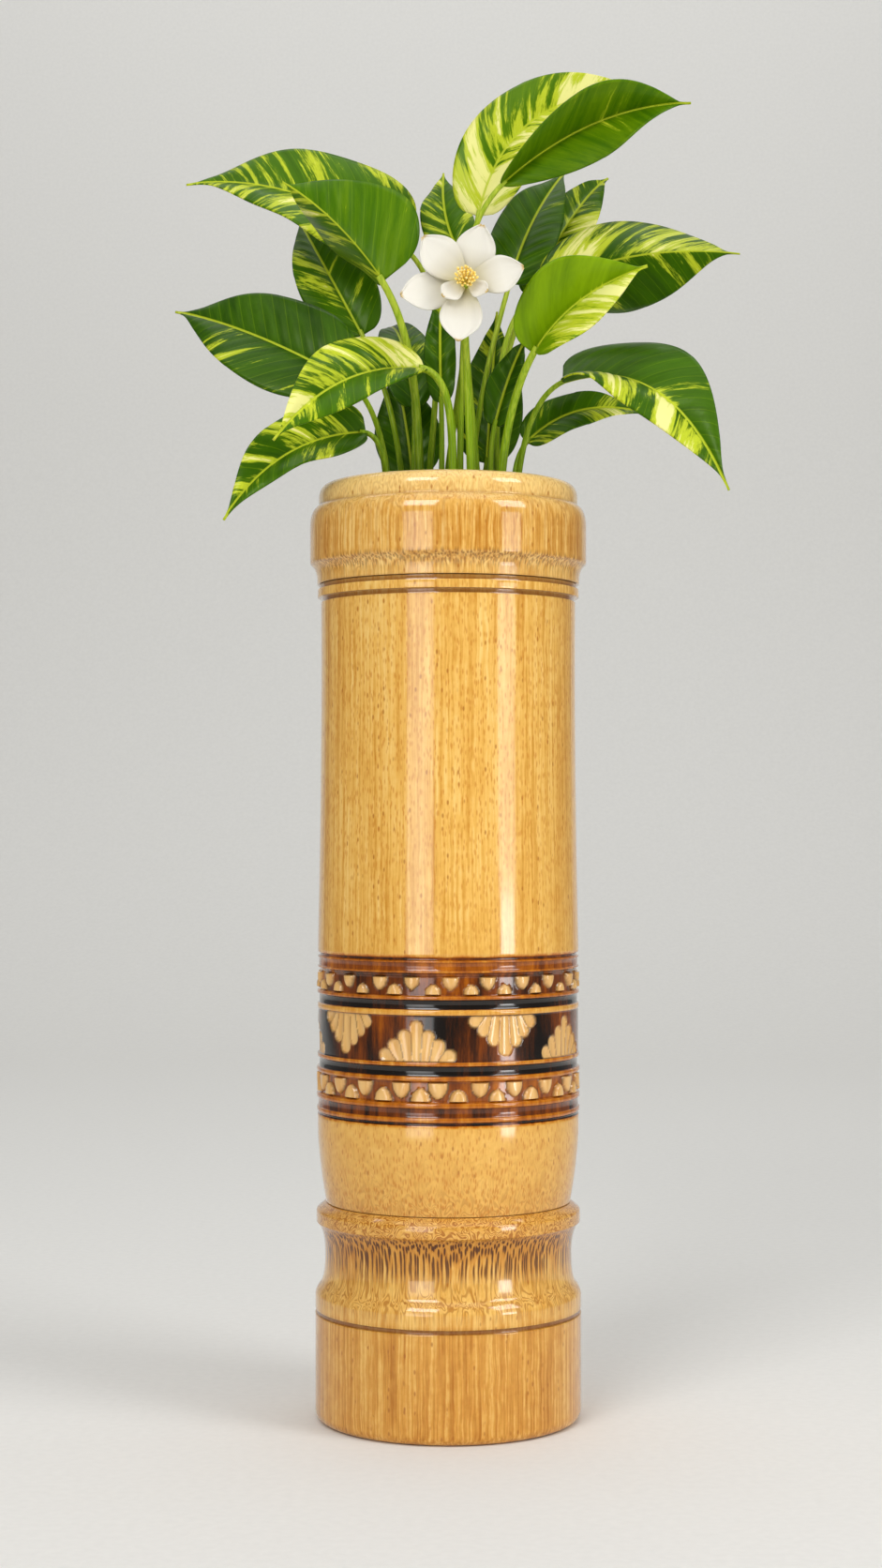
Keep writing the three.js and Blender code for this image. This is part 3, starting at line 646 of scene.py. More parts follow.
for vert in culm_mesh.verts:
    height = vert.co.z / MM
    angle = math.atan2(vert.co.x, -vert.co.y)
    radius = math.hypot(vert.co.x, vert.co.y) / MM
    if not BAND_BOTTOM <= height <= band_top:
        away = BAND_BOTTOM - height if height < BAND_BOTTOM else height - band_top
        vert[scorch_layer] = BLEED_SCORCH * max(0, 1 - away / SCORCH_BLEED) ** BLEED_FADE
        continue
    zone = next(name for name, span in zone_spans.items() if height <= span[1] + WELD)
    low, high, ground, scorch = zone_spans[zone]
    vert[scorch_layer] = scorch
    if zone not in CARVED or not low + CARVE_MARGIN < height < high - CARVE_MARGIN:
        continue
    angle, height = snapped(zone, angle, height)
    outside, spread, ridge = carving(zone, angle, height)
    inside = -outside
    if inside > FIGURE_INSIDE and zone == "fan field":
        across_flute = math.cos(0.5 * math.pi * min(1, abs(spread)))
        flute = FLUTE_SHALLOW + (1 - FLUTE_SHALLOW) * across_flute
        radius = ground - FAN_DEPTH * flute * min(1, inside / FAN_EDGE + FAN_EDGE_DEPTH)
        vert[cut_layer] = RIDGE_CUT if abs(ridge) < RIDGE_WIDTH else 1
    elif inside > FIGURE_INSIDE:
        swell = min(1, inside / TOOTH_ROUND)
        radius = ground + TOOTH_RISE * (1 - (1 - swell) ** 2) ** TOOTH_BLUNTNESS
        # Painted shade, darker towards the tooth's sides.
        vert[cut_layer] = TOOTH_SHADED_SIDE_CUT + (1 - TOOTH_SHADED_SIDE_CUT) * swell
    elif inside > -FIGURE_SEAM:
        vert[cut_layer] = SEAM_CUT
        vert[scorch_layer] = SEAM_SCORCH
    vert.co = Vector((radius * math.sin(angle), -radius * math.cos(angle), height)) * MM


def scorched(tree, place, colour):
    """The scorching laid over the bamboo, and the pale wood where the carving goes through it."""
    burn = node(tree, "Attribute", {}, "Fac", attribute_name="scorch")
    carve = node(tree, "Attribute", {}, "Fac", attribute_name="cut")
    streaky = stretched(tree, place, (1, 1, SCORCH_STREAK_STRETCH))
    streaks = noisy(tree, streaky, scale=210, detail=5, roughness=0.7)
    patches = noisy(tree, stretched(tree, place, (1, 1, SCORCH_PATCH_STRETCH)), scale=55, detail=1)
    heat = swung(tree, streaks, step_up(tree, burn, *SCORCH_STREAKED), burn)
    heat = swung(tree, patches, step_up(tree, burn, *SCORCH_PATCHED), heat)
    burnt = ramp(tree, heat, *SCORCH_BROWNS)
    colour = washed(tree, colour, burnt, step_up(tree, heat, *SCORCH_SHOWS))
    wood = noisy(tree, stretched(tree, place, (1, 1, CUT_WOOD_STRETCH)), scale=480, detail=2)
    return washed(tree, colour, ramp(tree, wood, (0.25, CUT_WOOD_DEEP), (0.6, CUT_WOOD)), carve)


culm_bamboo = bamboo(
    "lacquered_scorched_bamboo", HONEY_PALE, HONEY, HONEY_DEEP,
    paleness_and_painted_light=[(90, 0.42), (100, 0.44), (125, 0.46), (131, 0.43), (200, 0.44), (270, 0.48), (386, 0.5)],
    fibres=[(90, 0.15), (125, 0.2), (200, 0.75), (386, 0.85)],
    pores=[(90, 0), (386, 0)],
    knots=[(90, 0.5), (104, 0.35), (125, 0.2), (135, 0.02), (386, 0.012)],
    curls=[(90, 0.55), (98, 0.38), (106, 0.2), (118, 0.1), (125, 0.06), (140, 0), (386, 0)],
    flecks=[(90, 0.4), (104, 0.34), (125, 0.3), (131, 0.25), (200, 0.25), (386, 0.3)],
    motes=[(90, 1), (104, 0.85), (125, 0.7), (131, 0.4), (200, 0.4), (250, 0.65), (320, 0.65), (386, 0.4)],
    # Painted shade in the two neck grooves.
    groove_shade=[(348.4, 0), (348.9, 0.2), (349.1, 0.85), (350.7, 0.6), (351, 0),
           (354.3, 0), (354.6, 0.85), (356.3, 0.6)],
    finish=scorched,
)
culm = piece_from("culm", culm_mesh, culm_bamboo, sharp=48)
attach(culm, "pot")
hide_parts("culm_tube")


# Collar: a thick bamboo ring turned with a cove below, a straight side, a round shoulder and a lip.
# It drops over the culm's upper spigot and is glued there, and its lip covers the culm's end grain.

COLLAR_BOTTOM = culm_shoulder + FIT_GAP
COLLAR_BOTTOM_RADIUS = 56.4
COLLAR_BOTTOM_SIDE = 1
COLLAR_RADIUS = 59.5
COLLAR_SOCKET_RADIUS = COLLAR_SPIGOT_RADIUS + FIT_GAP
COLLAR_SOCKET_TOP = CULM_TOP + FIT_GAP
COLLAR_SIDE_BOTTOM = 365.3
COLLAR_SIDE_TOP = 381
COLLAR_COVE_EASE = 2.2
COLLAR_COVE_END = (COLLAR_RADIUS - 0.6, COLLAR_SIDE_BOTTOM - 0.4)
COLLAR_EDGE_EASE = 1.4
COLLAR_EDGE_STEPS = 4
COLLAR_SHOULDER_EASE = 1.8
LIP_BOTTOM = 390
LIP_RADIUS = 55.75
LIP_FOOT_OUT = 0.5
LIP_FOOT_UP = 0.6
LIP_FOOT_STEPS = 3
LIP_BORE_RADIUS = 44.8
LIP_ROUND = 6.5
LIP_INNER_ROUND = 3
RIM = 400
COLLAR_PALE = (244, 206, 128)
COLLAR_HONEY = (222, 168, 80)
COLLAR_DEEP = (188, 124, 36)

collar_outline = traced(
    eased([
        (COLLAR_SOCKET_RADIUS, COLLAR_BOTTOM), (COLLAR_BOTTOM_RADIUS, COLLAR_BOTTOM),
        (COLLAR_BOTTOM_RADIUS, COLLAR_BOTTOM + COLLAR_BOTTOM_SIDE),
    ]),
    ((COLLAR_BOTTOM_RADIUS, COLLAR_SIDE_BOTTOM - COLLAR_COVE_EASE), COLLAR_COVE_END, COVE_STEPS),
    ((COLLAR_RADIUS, COLLAR_SIDE_BOTTOM), (COLLAR_RADIUS, COLLAR_SIDE_BOTTOM + COLLAR_EDGE_EASE),
     COLLAR_EDGE_STEPS),
    ((COLLAR_RADIUS, COLLAR_SIDE_TOP),),
    ((COLLAR_RADIUS, LIP_BOTTOM - COLLAR_SHOULDER_EASE), (LIP_RADIUS + LIP_FOOT_OUT, LIP_BOTTOM), COVE_STEPS),
    ((LIP_RADIUS, LIP_BOTTOM), (LIP_RADIUS, LIP_BOTTOM + LIP_FOOT_UP), LIP_FOOT_STEPS),
    ((LIP_RADIUS, RIM - LIP_ROUND),),
    ((LIP_RADIUS, RIM), (LIP_RADIUS - LIP_ROUND, RIM)),
    ((LIP_BORE_RADIUS + LIP_INNER_ROUND, RIM),),
    ((LIP_BORE_RADIUS, RIM), (LIP_BORE_RADIUS, RIM - LIP_INNER_ROUND)),
    ((LIP_BORE_RADIUS, COLLAR_SOCKET_TOP),),
    ((COLLAR_SOCKET_RADIUS, COLLAR_SOCKET_TOP),),
)
collar_bamboo = bamboo(
    "lacquered_collar_bamboo", COLLAR_PALE, COLLAR_HONEY, COLLAR_DEEP,
    # Paler in the cove and up the lip: a painted highlight in the cove, and painted light on the lip's top,
    # which faces the lamps above.
    paleness_and_painted_light=[(356, 0.6), (364, 0.6), (367, 0.47), (380, 0.46), (385, 0.54), (391, 0.72), (400, 0.84)],
    fibres=[(356, 0.4), (366, 0.6), (369, 1.1), (380, 1.1), (386, 0.4), (400, 0.3)],
    pores=[(356, 0), (359, 0.1), (362, 0.4), (365.5, 0.5), (367.5, 0), (400, 0)],
    knots=[(356, 0.05), (364, 0.1), (368, 0.02), (379, 0.02), (386, 0.12), (391, 0.3), (400, 0.3)],
    curls=[(356, 0.3), (364, 0.4), (367, 0.25), (378, 0.25), (384, 0.4), (390, 0.25), (400, 0.18)],
    flecks=[(356, 0.35), (380, 0.3), (400, 0.4)],
    motes=[(356, 0.3), (400, 0.4)],
    # Painted shade at the collar's foot beside the culm's groove, and in the crease under the lip.
    groove_shade=[(356, 0.4), (357.5, 0), (388.6, 0), (390, 0.3), (391.4, 0)],
)
collar = piece_from("collar", turned(collar_outline, FOOT_STEPS), collar_bamboo, sharp=40)
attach(collar, "pot")
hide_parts("collar_ring")


# Inner pot: a thin moulded cup of black plastic with a rolled lip, which stands on the node's floor.
# It holds the wet mix away from the bamboo, and the whole planting lifts out with it.

LINER_BOTTOM = 80.3
LINER_TOP = 375
LINER_TOP_RADIUS = 43.4
LINER_BOTTOM_RADIUS = 41.5
LINER_WALL = 1.5
LINER_LIP_RADIUS = 44
LINER_LIP_HEIGHT = 3
LINER_LIP_BOTTOM = LINER_TOP - LINER_LIP_HEIGHT
LINER_EASE = 0.6
LINER_STEPS = 128
PLASTIC_BLACK = (30, 29, 27)
PLASTIC_SCUFFED = (52, 50, 47)

liner_outline = eased([
    (AXIS_PIN, LINER_BOTTOM), (LINER_BOTTOM_RADIUS, LINER_BOTTOM), (LINER_TOP_RADIUS, LINER_LIP_BOTTOM),
    (LINER_LIP_RADIUS, LINER_LIP_BOTTOM), (LINER_LIP_RADIUS, LINER_TOP),
    (LINER_TOP_RADIUS - LINER_WALL, LINER_TOP), (LINER_BOTTOM_RADIUS - LINER_WALL, LINER_BOTTOM + LINER_WALL),
    (AXIS_PIN, LINER_BOTTOM + LINER_WALL),
], ease=LINER_EASE)
black_plastic, tree, shader, place = new_material("black_moulded_plastic")
scuff = noisy(tree, place, scale=90, detail=6)
plug(tree, shader, {
    "Base Color": ramp(tree, scuff, (0.35, PLASTIC_BLACK), (0.7, PLASTIC_SCUFFED)),
    "Roughness": maths(tree, "MULTIPLY_ADD", scuff, 0.3, 0.35),
})
liner = piece_from("inner_pot", turned(liner_outline, LINER_STEPS), black_plastic, sharp=40)
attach(liner, "planting")
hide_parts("liner")


# Potting mix: dark, crumbly peat and bark that fills the inner pot to below its lip.
# Lumps, bark chips and a few white perlite grains lie loose on its surface.

MIX_BOTTOM = 82.1
MIX_TOP = 360
MIX_BOTTOM_RADIUS = 39.6
MIX_TOP_RADIUS = 41.4
MIX_STEPS = 96
MIX_RINGS = 24
LUMP_SCALE = 160
LUMP_HEIGHT = 1.4
LUMP_LEVEL = 0.2
LUMP_OCTAVES = 4
CRUMB_COUNT = 420
CRUMB_SIZES = (0.5, 1.7)
CRUMB_LENGTHS = (0.8, 1.8)
CRUMB_FLATNESS = (0.5, 1)
CRUMB_SINK = 0.3
CRUMB_EDGE_GAP = 3
PEAT_BROWNS = [(0.3, (26, 17, 11)), (0.5, (58, 39, 25)), (0.75, (96, 68, 44))]
PERLITE_WHITE = (196, 190, 178)
PERLITE_SPACING = 10 / 3
PERLITE_CHOICE = (0.95, 0.97)

mix_outline = [(AXIS_PIN, MIX_BOTTOM), (MIX_BOTTOM_RADIUS, MIX_BOTTOM), (MIX_TOP_RADIUS, MIX_TOP)]
for ring in range(1, MIX_RINGS + 1):
    mix_outline.append((MIX_TOP_RADIUS * (1 - ring / MIX_RINGS) + AXIS_PIN, MIX_TOP))
mix_mesh = turned(mix_outline, MIX_STEPS)
for vert in mix_mesh.verts:
    if vert.co.z > (MIX_TOP - WELD) * MM:
        lump = noise.fractal(vert.co * LUMP_SCALE, 1.0, 2.0, LUMP_OCTAVES)
        vert.co.z += LUMP_HEIGHT * MM * min(0, lump - LUMP_LEVEL)
for crumb in range(CRUMB_COUNT):
    reach = (MIX_TOP_RADIUS - CRUMB_EDGE_GAP) * math.sqrt(rng.random())
    angle = rng.uniform(0, 2 * math.pi)
    size = rng.uniform(*CRUMB_SIZES)
    lay = Matrix.LocRotScale(
        Vector((reach * math.cos(angle), reach * math.sin(angle), MIX_TOP - CRUMB_SINK * size)) * MM,
        Vector((rng.random() - 0.5, rng.random() - 0.5, rng.random() - 0.5)).to_track_quat("Z", "Y"),
        Vector((size * rng.uniform(*CRUMB_LENGTHS), size, size * rng.uniform(*CRUMB_FLATNESS))),
    )
    bmesh.ops.create_icosphere(mix_mesh, subdivisions=1, radius=MM, matrix=lay)
peat, tree, shader, place = new_material("peat_and_bark")
clods = noisy(tree, place, scale=420, detail=6, roughness=0.7)
perlite = step_up(tree, chance(tree, cells(tree, place, PERLITE_SPACING)), *PERLITE_CHOICE)
plug(tree, shader, {
    "Base Color": washed(tree, ramp(tree, clods, *PEAT_BROWNS), tint(*PERLITE_WHITE), perlite),
    "Roughness": 0.92,
    "Normal": bumps(tree, clods, strength=0.5, depth=0.8),
})
soil = piece_from("potting_mix_fill", mix_mesh, peat, sharp=60)
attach(soil, "planting")
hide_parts("potting_mix")


# Leaf stalks: round, juicy, yellow-green petioles that rise from the mix and bend over to their blades.
# Each is thicker at its root, where it sheathes the crown, and runs on as the blade's midrib.

STALK_RADIUS = 1.5
THICK_STALK_RADIUS = 2.1
THICK_STALKS = ("right_front", "front_left", "left_up_near")
STALK_UPRIGHT_SHARE = 0.5
STALK_APPROACH_SHARE = 0.25
STALK_SIDES = 14
STALK_STEPS = 26
STALK_ROOT_DEPTH = 1
STALK_ROOT_SWELL = 1.25
STALK_ROOT_SHARE = 1 / 3
STALK_TIP_SHARE = 0.72
STALK_OVERRUN = 2.5
STALK_GREENS = [(0.1, (80, 110, 8)), (0.45, (128, 160, 16)), (0.85, (192, 206, 64))]
# The stalks are darker low down towards the mix and palest about 100 mm over the rim.
STALK_TONE_BY_HEIGHT = [(360, 0.25), (402, 0.35), (440, 0.55), (500, 0.75), (540, 0.6)]
STALK_RIB_STRETCH = 0.06
STALK_RIB_CONTRAST = 0.8
# Each leaf: the stalk's root (x, y), the blade's base, bend and tip (x, y, height over the rim), the way
# its upper side faces, its half width, how far its halves fold up in degrees, how far along it is widest,
# how creamy its left and right halves are, and how light its green is painted, as painted light and shade.
LEAVES = [
    ("top_front", (14, -4), (23, -8, 128), (60, -16, 160), (102, -30, 157),
     (0.6, -0.8, 0.05), 20, 45, 0.55, -0.16, -0.12, 0.55),
    ("top_back", (5, 6), (13, 7, 118), (26, 12, 181), (95, 14, 172),
     (-0.25, -0.95, 0.2), 19, 12, 0.35, 0.08, 0.12, 0.6),
    ("back_mid", (8, 18), (27, 24, 92), (36, 34, 126), (54, 64, 152),
     (0, -0.9, 0.44), 15, 10, 0.35, -0.14, -0.1, 0.25),
    ("back_right", (17, 18), (36, 40, 90), (56, 51, 134), (73, 65, 149),
     (0, -0.9, 0.44), 13, 10, 0.4, 0, 0.05, 0.35),
    ("right_far", (22, 8), (41, 13, 88), (78, 3, 106), (121, -42, 91),
     (0.4, -0.9, 0.1), 24.5, -34, 0.4, 0.06, -0.08, 0.3),
    ("right_front", (21, -13), (36, -30, 52), (51, -38, 76), (83, -40, 86),
     (-0.55, -0.8, -0.2), 22, 42, 0.43, -0.14, 0.14, 0.85),
    ("right_droop", (28, -7), (49, -10, 43), (93, -20, 56), (116, -45, -8),
     (-0.45, -0.3, 0.85), 26, 16, 0.3, -0.14, 0.06, 0.33),
    ("right_low", (29, 3), (34, 10, 20), (55, 13, 42), (87, 20, 34),
     (0, -0.87, 0.5), 10, 12, 0.35, -0.06, 0.02, 0.3),
    ("front_left", (1, -17), (-10, -25, 46), (-46, -45, 47), (-71, -65, 10),
     (0.7, -0.3, 0.65), 16.5, 25, 0.45, -0.04, 0.1, 0.4),
    ("low_left", (-27, -8), (-35, -20, 20), (-72, -28, 18), (-94, -35, -19),
     (-0.22, -0.9, 0.35), 15.5, 26, 0.35, -0.08, 0, 0.3),
    ("left", (-24, 4), (-43, 0, 45), (-86, 16, 72), (-122, 40, 83),
     (0, -0.93, 0.36), 24, 8, 0.35, -0.02, -0.12, 0.2),
    ("left_up_long", (-10, 10), (-21, 22, 109), (-70, 26, 143), (-116, 28, 137),
     (-0.3, -0.7, 0.65), 27, 14, 0.3, 0.05, 0.05, 0.45),
    ("left_up_near", (-12, -4), (-28, -20, 84), (-46, -22, 111), (-70, -25, 125),
     (-0.8, -0.5, 0.35), 29, -42, 0.3, -0.02, -0.12, 0.5),
    ("left_back", (-18, 16), (-38, 28, 70), (-56, 34, 104), (-68, 56, 128),
     (0, -0.9, 0.44), 17, 8, 0.35, 0.02, -0.04, 0.3),
    ("small_back", (-3, 18), (4, 30, 109), (-4, 36, 126), (-2, 52, 148),
     (0, -0.97, 0.24), 12, 10, 0.35, 0.06, -0.08, 0.4),
    ("inner_right", (20, 1), (20, 2, 26), (26, 2, 50), (33, -6, 61),
     (0, -0.87, 0.5), 8, 14, 0.35, -0.2, -0.15, 0.15),
    ("inner_left", (-17, 6), (-15, 16, 36), (-20, 28, 76), (-27, 62, 80),
     (0, -0.87, 0.5), 12, 14, 0.35, -0.15, -0.1, 0.2),
    ("inner_centre", (-3, 2), (-3, 2, 36), (-4, 2, 66), (-3, 3, 84),
     (0, -0.87, 0.5), 7, 14, 0.35, -0.2, -0.15, 0.15),
    ("back_low_left", (-11, 22), (-16, 30, 8), (-18, 34, 32), (-24, 40, 58),
     (0, -0.95, 0.3), 15, 10, 0.35, -0.1, -0.06, 0.2),
    ("back_low_right", (10, 27), (17, 33, 14), (19, 38, 46), (22, 46, 84),
     (0, -0.95, 0.3), 15, 10, 0.35, -0.06, -0.12, 0.2),
]


def over_rim(place):
    """A point in metres from its x, y and height over the rim."""
    return Vector((place[0], place[1], RIM + place[2])) * MM


def curve_point(points, t):
    """The point at t along the smooth curve that the points pull."""
    while len(points) > 1:
        points = [a.lerp(b, t) for a, b in zip(points, points[1:])]
    return points[0]


def curve_way(points, t):
    """The way that the smooth curve runs at t."""
    return curve_point([b - a for a, b in zip(points, points[1:])], t).normalized()


def stalk_mesh(root, end, way, radius):
    """A round stalk, drawn out step by step from a ring at its root."""
    start = Vector((root[0], root[1], MIX_TOP - STALK_ROOT_DEPTH)) * MM
    rise = end.z - start.z
    upright = start + Vector((0, 0, rise * STALK_UPRIGHT_SHARE))
    route = [start, upright, end - way * rise * STALK_APPROACH_SHARE, end]
    bm = bmesh.new()
    ring = bmesh.ops.create_circle(
        bm, segments=STALK_SIDES, radius=radius * STALK_ROOT_SWELL * MM, matrix=Matrix.Translation(start),
    )["verts"]
    edges = bm.edges[:]
    bm.faces.new(ring)
    size = STALK_ROOT_SWELL
    for step in range(1, STALK_STEPS + 1):
        t, t_before = step / STALK_STEPS, (step - 1) / STALK_STEPS
        drawn = bmesh.ops.extrude_edge_only(bm, edges=edges)["geom"]
        verts, edges = only(bmesh.types.BMVert, drawn), only(bmesh.types.BMEdge, drawn)
        before, here = curve_point(route, t_before), curve_point(route, t)
        turn = curve_way(route, t_before).rotation_difference(curve_way(route, t))
        girth = STALK_ROOT_SWELL + (1 - STALK_ROOT_SWELL) * min(1, t / STALK_ROOT_SHARE)
        girth -= (1 - STALK_TIP_SHARE) * t
        bmesh.ops.translate(bm, verts=verts, vec=here - before)
        bmesh.ops.rotate(bm, verts=verts, cent=here, matrix=turn.to_matrix())
        bmesh.ops.scale(bm, verts=verts, vec=(girth / size,) * 3, space=Matrix.Translation(-here))
        size = girth
    bmesh.ops.contextual_create(bm, geom=edges)
    bmesh.ops.recalc_face_normals(bm, faces=bm.faces)
    return bm


stalk_green, tree, shader, place = new_material("juicy_stalk_green")
ribs = noisy(tree, stretched(tree, place, (1, 1, STALK_RIB_STRETCH)), scale=900, detail=3)
stalk_tone = swung(tree, ribs, STALK_RIB_CONTRAST, along_height(tree, place, STALK_TONE_BY_HEIGHT))
plug(tree, shader, {
    "Base Color": ramp(tree, stalk_tone, *STALK_GREENS),
    "Roughness": maths(tree, "MULTIPLY_ADD", ribs, 0.2, 0.24),
    "Specular IOR Level": 0.18,
    "Normal": bumps(tree, ribs, strength=0.15, depth=0.3),
})
for name, root, base, bend_at, *blade_form in LEAVES:
    way = (over_rim(bend_at) - over_rim(base)).normalized()
    radius = THICK_STALK_RADIUS if name in THICK_STALKS else STALK_RADIUS
    bm = stalk_mesh(root, over_rim(base) + way * STALK_OVERRUN * MM, way, radius)
    stalk = piece_from("stalk_" + name, bm, stalk_green, sharp=60)
    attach(stalk, "planting")
    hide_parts(f"leaf_{name}_stalk")


# Leaf blades: thin, glossy, pointed leaves with a sunken midrib and arching side veins.
# The green is splashed with cream and yellow along the veins, more on one half than the other.

BLADE_THICKNESS = 0.7
BLADE_FORM = {"foot": 1.3, "end": 0.35, "powers": (0.5, 1.05), "reach": 0.95, "drip": 2.4, "grid": (32, 64)}
DRIP_SHRINKS_FROM = 0.84
MIDRIB_CROWDING = 1.25
FOOT_CROWDING = 1.15
LENGTH_STEPS = 20
VEIN_SLANT = 0.85
VEIN_SPACING = 6.5
VEIN_QUILT = 0.17
QUILT_SPREAD = 1.1
QUILT_FULL_WIDTH = 8
MIDRIB_SINK = 0.5
MIDRIB_WIDTH = 1.1
HALF_SWELL = 0.07
MARGIN_WAVE = 1.3
MARGIN_WAVE_SIZES = (0.7, 1.2)
MARGIN_WAVES = 1.9
MARGIN_SHIFT = 0.35
MARGIN_FULL_WIDTH = 6
LEAF_APART = 300
MIDRIB_AT = 0.5
CREAM_DIVIDE = 4

LEAF_DARK = (34, 70, 0)
LEAF_GREEN = (66, 108, 0)
LEAF_LIGHT = (128, 162, 4)
LEAF_YELLOW = (190, 202, 44)
LEAF_CREAM = (240, 236, 148)
SPLASH_STRETCH = 0.22
SPLASH_CONTRAST = 0.9
PATCH_STRETCH = 0.7
PATCH_CONTRAST = 0.55
YELLOW_EDGE = (0.53, 0.62)
CREAM_EDGE = (0.65, 0.73)
VEIN_EDGE = (0.35 * MM, 0.1 * MM)
VEIN_STRENGTH = 0.22
VEIN_GROOVE = 1.5
MIDRIB_EDGE = (0.75 * MM, 0.3 * MM)
MIDRIB_STRENGTH = 0.85


def blade_mesh(points, face, half, fold, widest, shape, foot, end, powers, reach, drip, grid):
    """A blade drawn over a flat grid: shape(side, t, width, length) lifts it off its spine.

    foot and end are its half widths there, powers how it swells from each, reach how far its swelling
    goes, and drip the half width of its drawn-out tip. What shape was given comes back for each point.
    """
    skew = math.log(0.5) / math.log(widest)
    turn = math.radians(fold)
    bm = bmesh.new()
    bmesh.ops.create_grid(bm, x_segments=grid[0], y_segments=grid[1], size=1)
    spine = [curve_point(points, step / LENGTH_STEPS) for step in range(LENGTH_STEPS + 1)]
    length = sum((b - a).length for a, b in zip(spine, spine[1:])) / MM
    spots = []
    for vert in bm.verts:
        side = math.copysign(abs(vert.co.x) ** MIDRIB_CROWDING, vert.co.x)
        t = ((vert.co.y + 1) / 2) ** FOOT_CROWDING
        along = curve_way(points, t)
        up = (face - along * face.dot(along)).normalized()
        across = along.cross(up)
        tip_half = drip * min(1, (1 - t) / (1 - DRIP_SHRINKS_FROM)) if t > 0.5 else 0
        least = max(foot + (end - foot) * t, tip_half)
        swell = max(0, math.sin(math.pi * min(1, t / reach) ** skew))
        width = math.hypot(least, half * swell ** (powers[0] + (powers[1] - powers[0]) * t))
        lift = abs(side) * width * math.sin(turn) + shape(side, t, width, length)
        vert.co = curve_point(points, t) + across * side * width * math.cos(turn) * MM + up * lift * MM
        spots.append((side, t, width, length))
    return bm, spots


def thicken(skin, thickness):
    """Gives a thin skin its thickness, below its upper side."""
    solid = skin.modifiers.new("thickness", "SOLIDIFY")
    solid.thickness = thickness * MM
    solid.offset = -1


def leaf_shape(phase, wave):
    """How a leaf's skin lifts: swollen halves, a sunken midrib, quilting between veins, a wavy margin."""
    def lift(side, t, width, length):
        out = abs(side)
        body = HALF_SWELL * width * math.sin(math.pi * out)
        midrib = -MIDRIB_SINK * math.exp(-((out * width / MIDRIB_WIDTH) ** 2)) * (1 - t)
        vein = (t * length - VEIN_SLANT * out * width) / VEIN_SPACING
        quilt = VEIN_QUILT * math.cos(2 * math.pi * vein) * math.sin(math.pi * min(1, out * QUILT_SPREAD))
        turns = MARGIN_WAVES * t + phase + MARGIN_SHIFT * math.copysign(1, side)
        margin = wave * out ** 3 * math.sin(2 * math.pi * turns)
        quilt *= min(1, width / QUILT_FULL_WIDTH)
        return body + midrib + quilt + margin * min(1, width / MARGIN_FULL_WIDTH)
    return lift


leaf_skin, tree, shader, place = new_material("variegated_leaf")
veins = node(tree, "UVMap", {}, uv_map="veins")
along_veins = node(tree, "SeparateXYZ", {0: veins})
splash = noisy(
    tree, stretched(tree, veins, (1, SPLASH_STRETCH, 1)), scale=95, detail=6, roughness=0.7,
    distortion=0.3, noise_dimensions="2D",
)
patch = noisy(
    tree, stretched(tree, veins, (1, PATCH_STRETCH, 1)), scale=30, detail=2, noise_dimensions="2D",
)
cream = maths(tree, "ADD", splash, node(tree, "Attribute", {}, "Fac", attribute_name="cream"))
cream = swung(tree, patch, PATCH_CONTRAST, cream)
# Painted light and shade: each leaf's green is set lighter or darker for how sunlit it is.
green_and_painted_light = swung(tree, splash, SPLASH_CONTRAST, node(tree, "Attribute", {}, "Fac", attribute_name="light"))
off_middle = maths(tree, "ABSOLUTE", maths(tree, "SUBTRACT", along_veins.node.outputs["Y"], MIDRIB_AT))
vein_line = step_up(tree, maths(tree, "PINGPONG", along_veins, VEIN_SPACING / 2 * MM), *VEIN_EDGE)
vein_line = maths(tree, "MULTIPLY", vein_line, VEIN_STRENGTH)
leaf_colour = ramp(tree, green_and_painted_light, (0.05, LEAF_DARK), (0.45, LEAF_GREEN), (1, LEAF_LIGHT))
leaf_colour = washed(tree, leaf_colour, tint(*LEAF_LIGHT), vein_line)
leaf_colour = washed(tree, leaf_colour, tint(*LEAF_YELLOW), step_up(tree, cream, *YELLOW_EDGE))
leaf_colour = washed(tree, leaf_colour, tint(*LEAF_CREAM), step_up(tree, cream, *CREAM_EDGE))
midrib_line = step_up(tree, off_middle, *MIDRIB_EDGE)
leaf_colour = washed(tree, leaf_colour, tint(*LEAF_YELLOW), midrib_line, MIDRIB_STRENGTH)
fuzz = noisy(tree, place, scale=700, detail=3)
grooved = maths(tree, "MULTIPLY_ADD", vein_line, -VEIN_GROOVE, fuzz)
plug(tree, shader, {
    "Base Color": leaf_colour,
    "Roughness": maths(tree, "MULTIPLY_ADD", splash, 0.2, 0.3),
    "Specular IOR Level": 0.23,
    "Specular Tint": (0.8, 1, 0.4, 1),
    "Coat Weight": 0.07,
    "Coat IOR": 1.4,
    "Coat Roughness": 0.15,
    "Normal": bumps(tree, grooved, strength=0.15, depth=0.25),
})

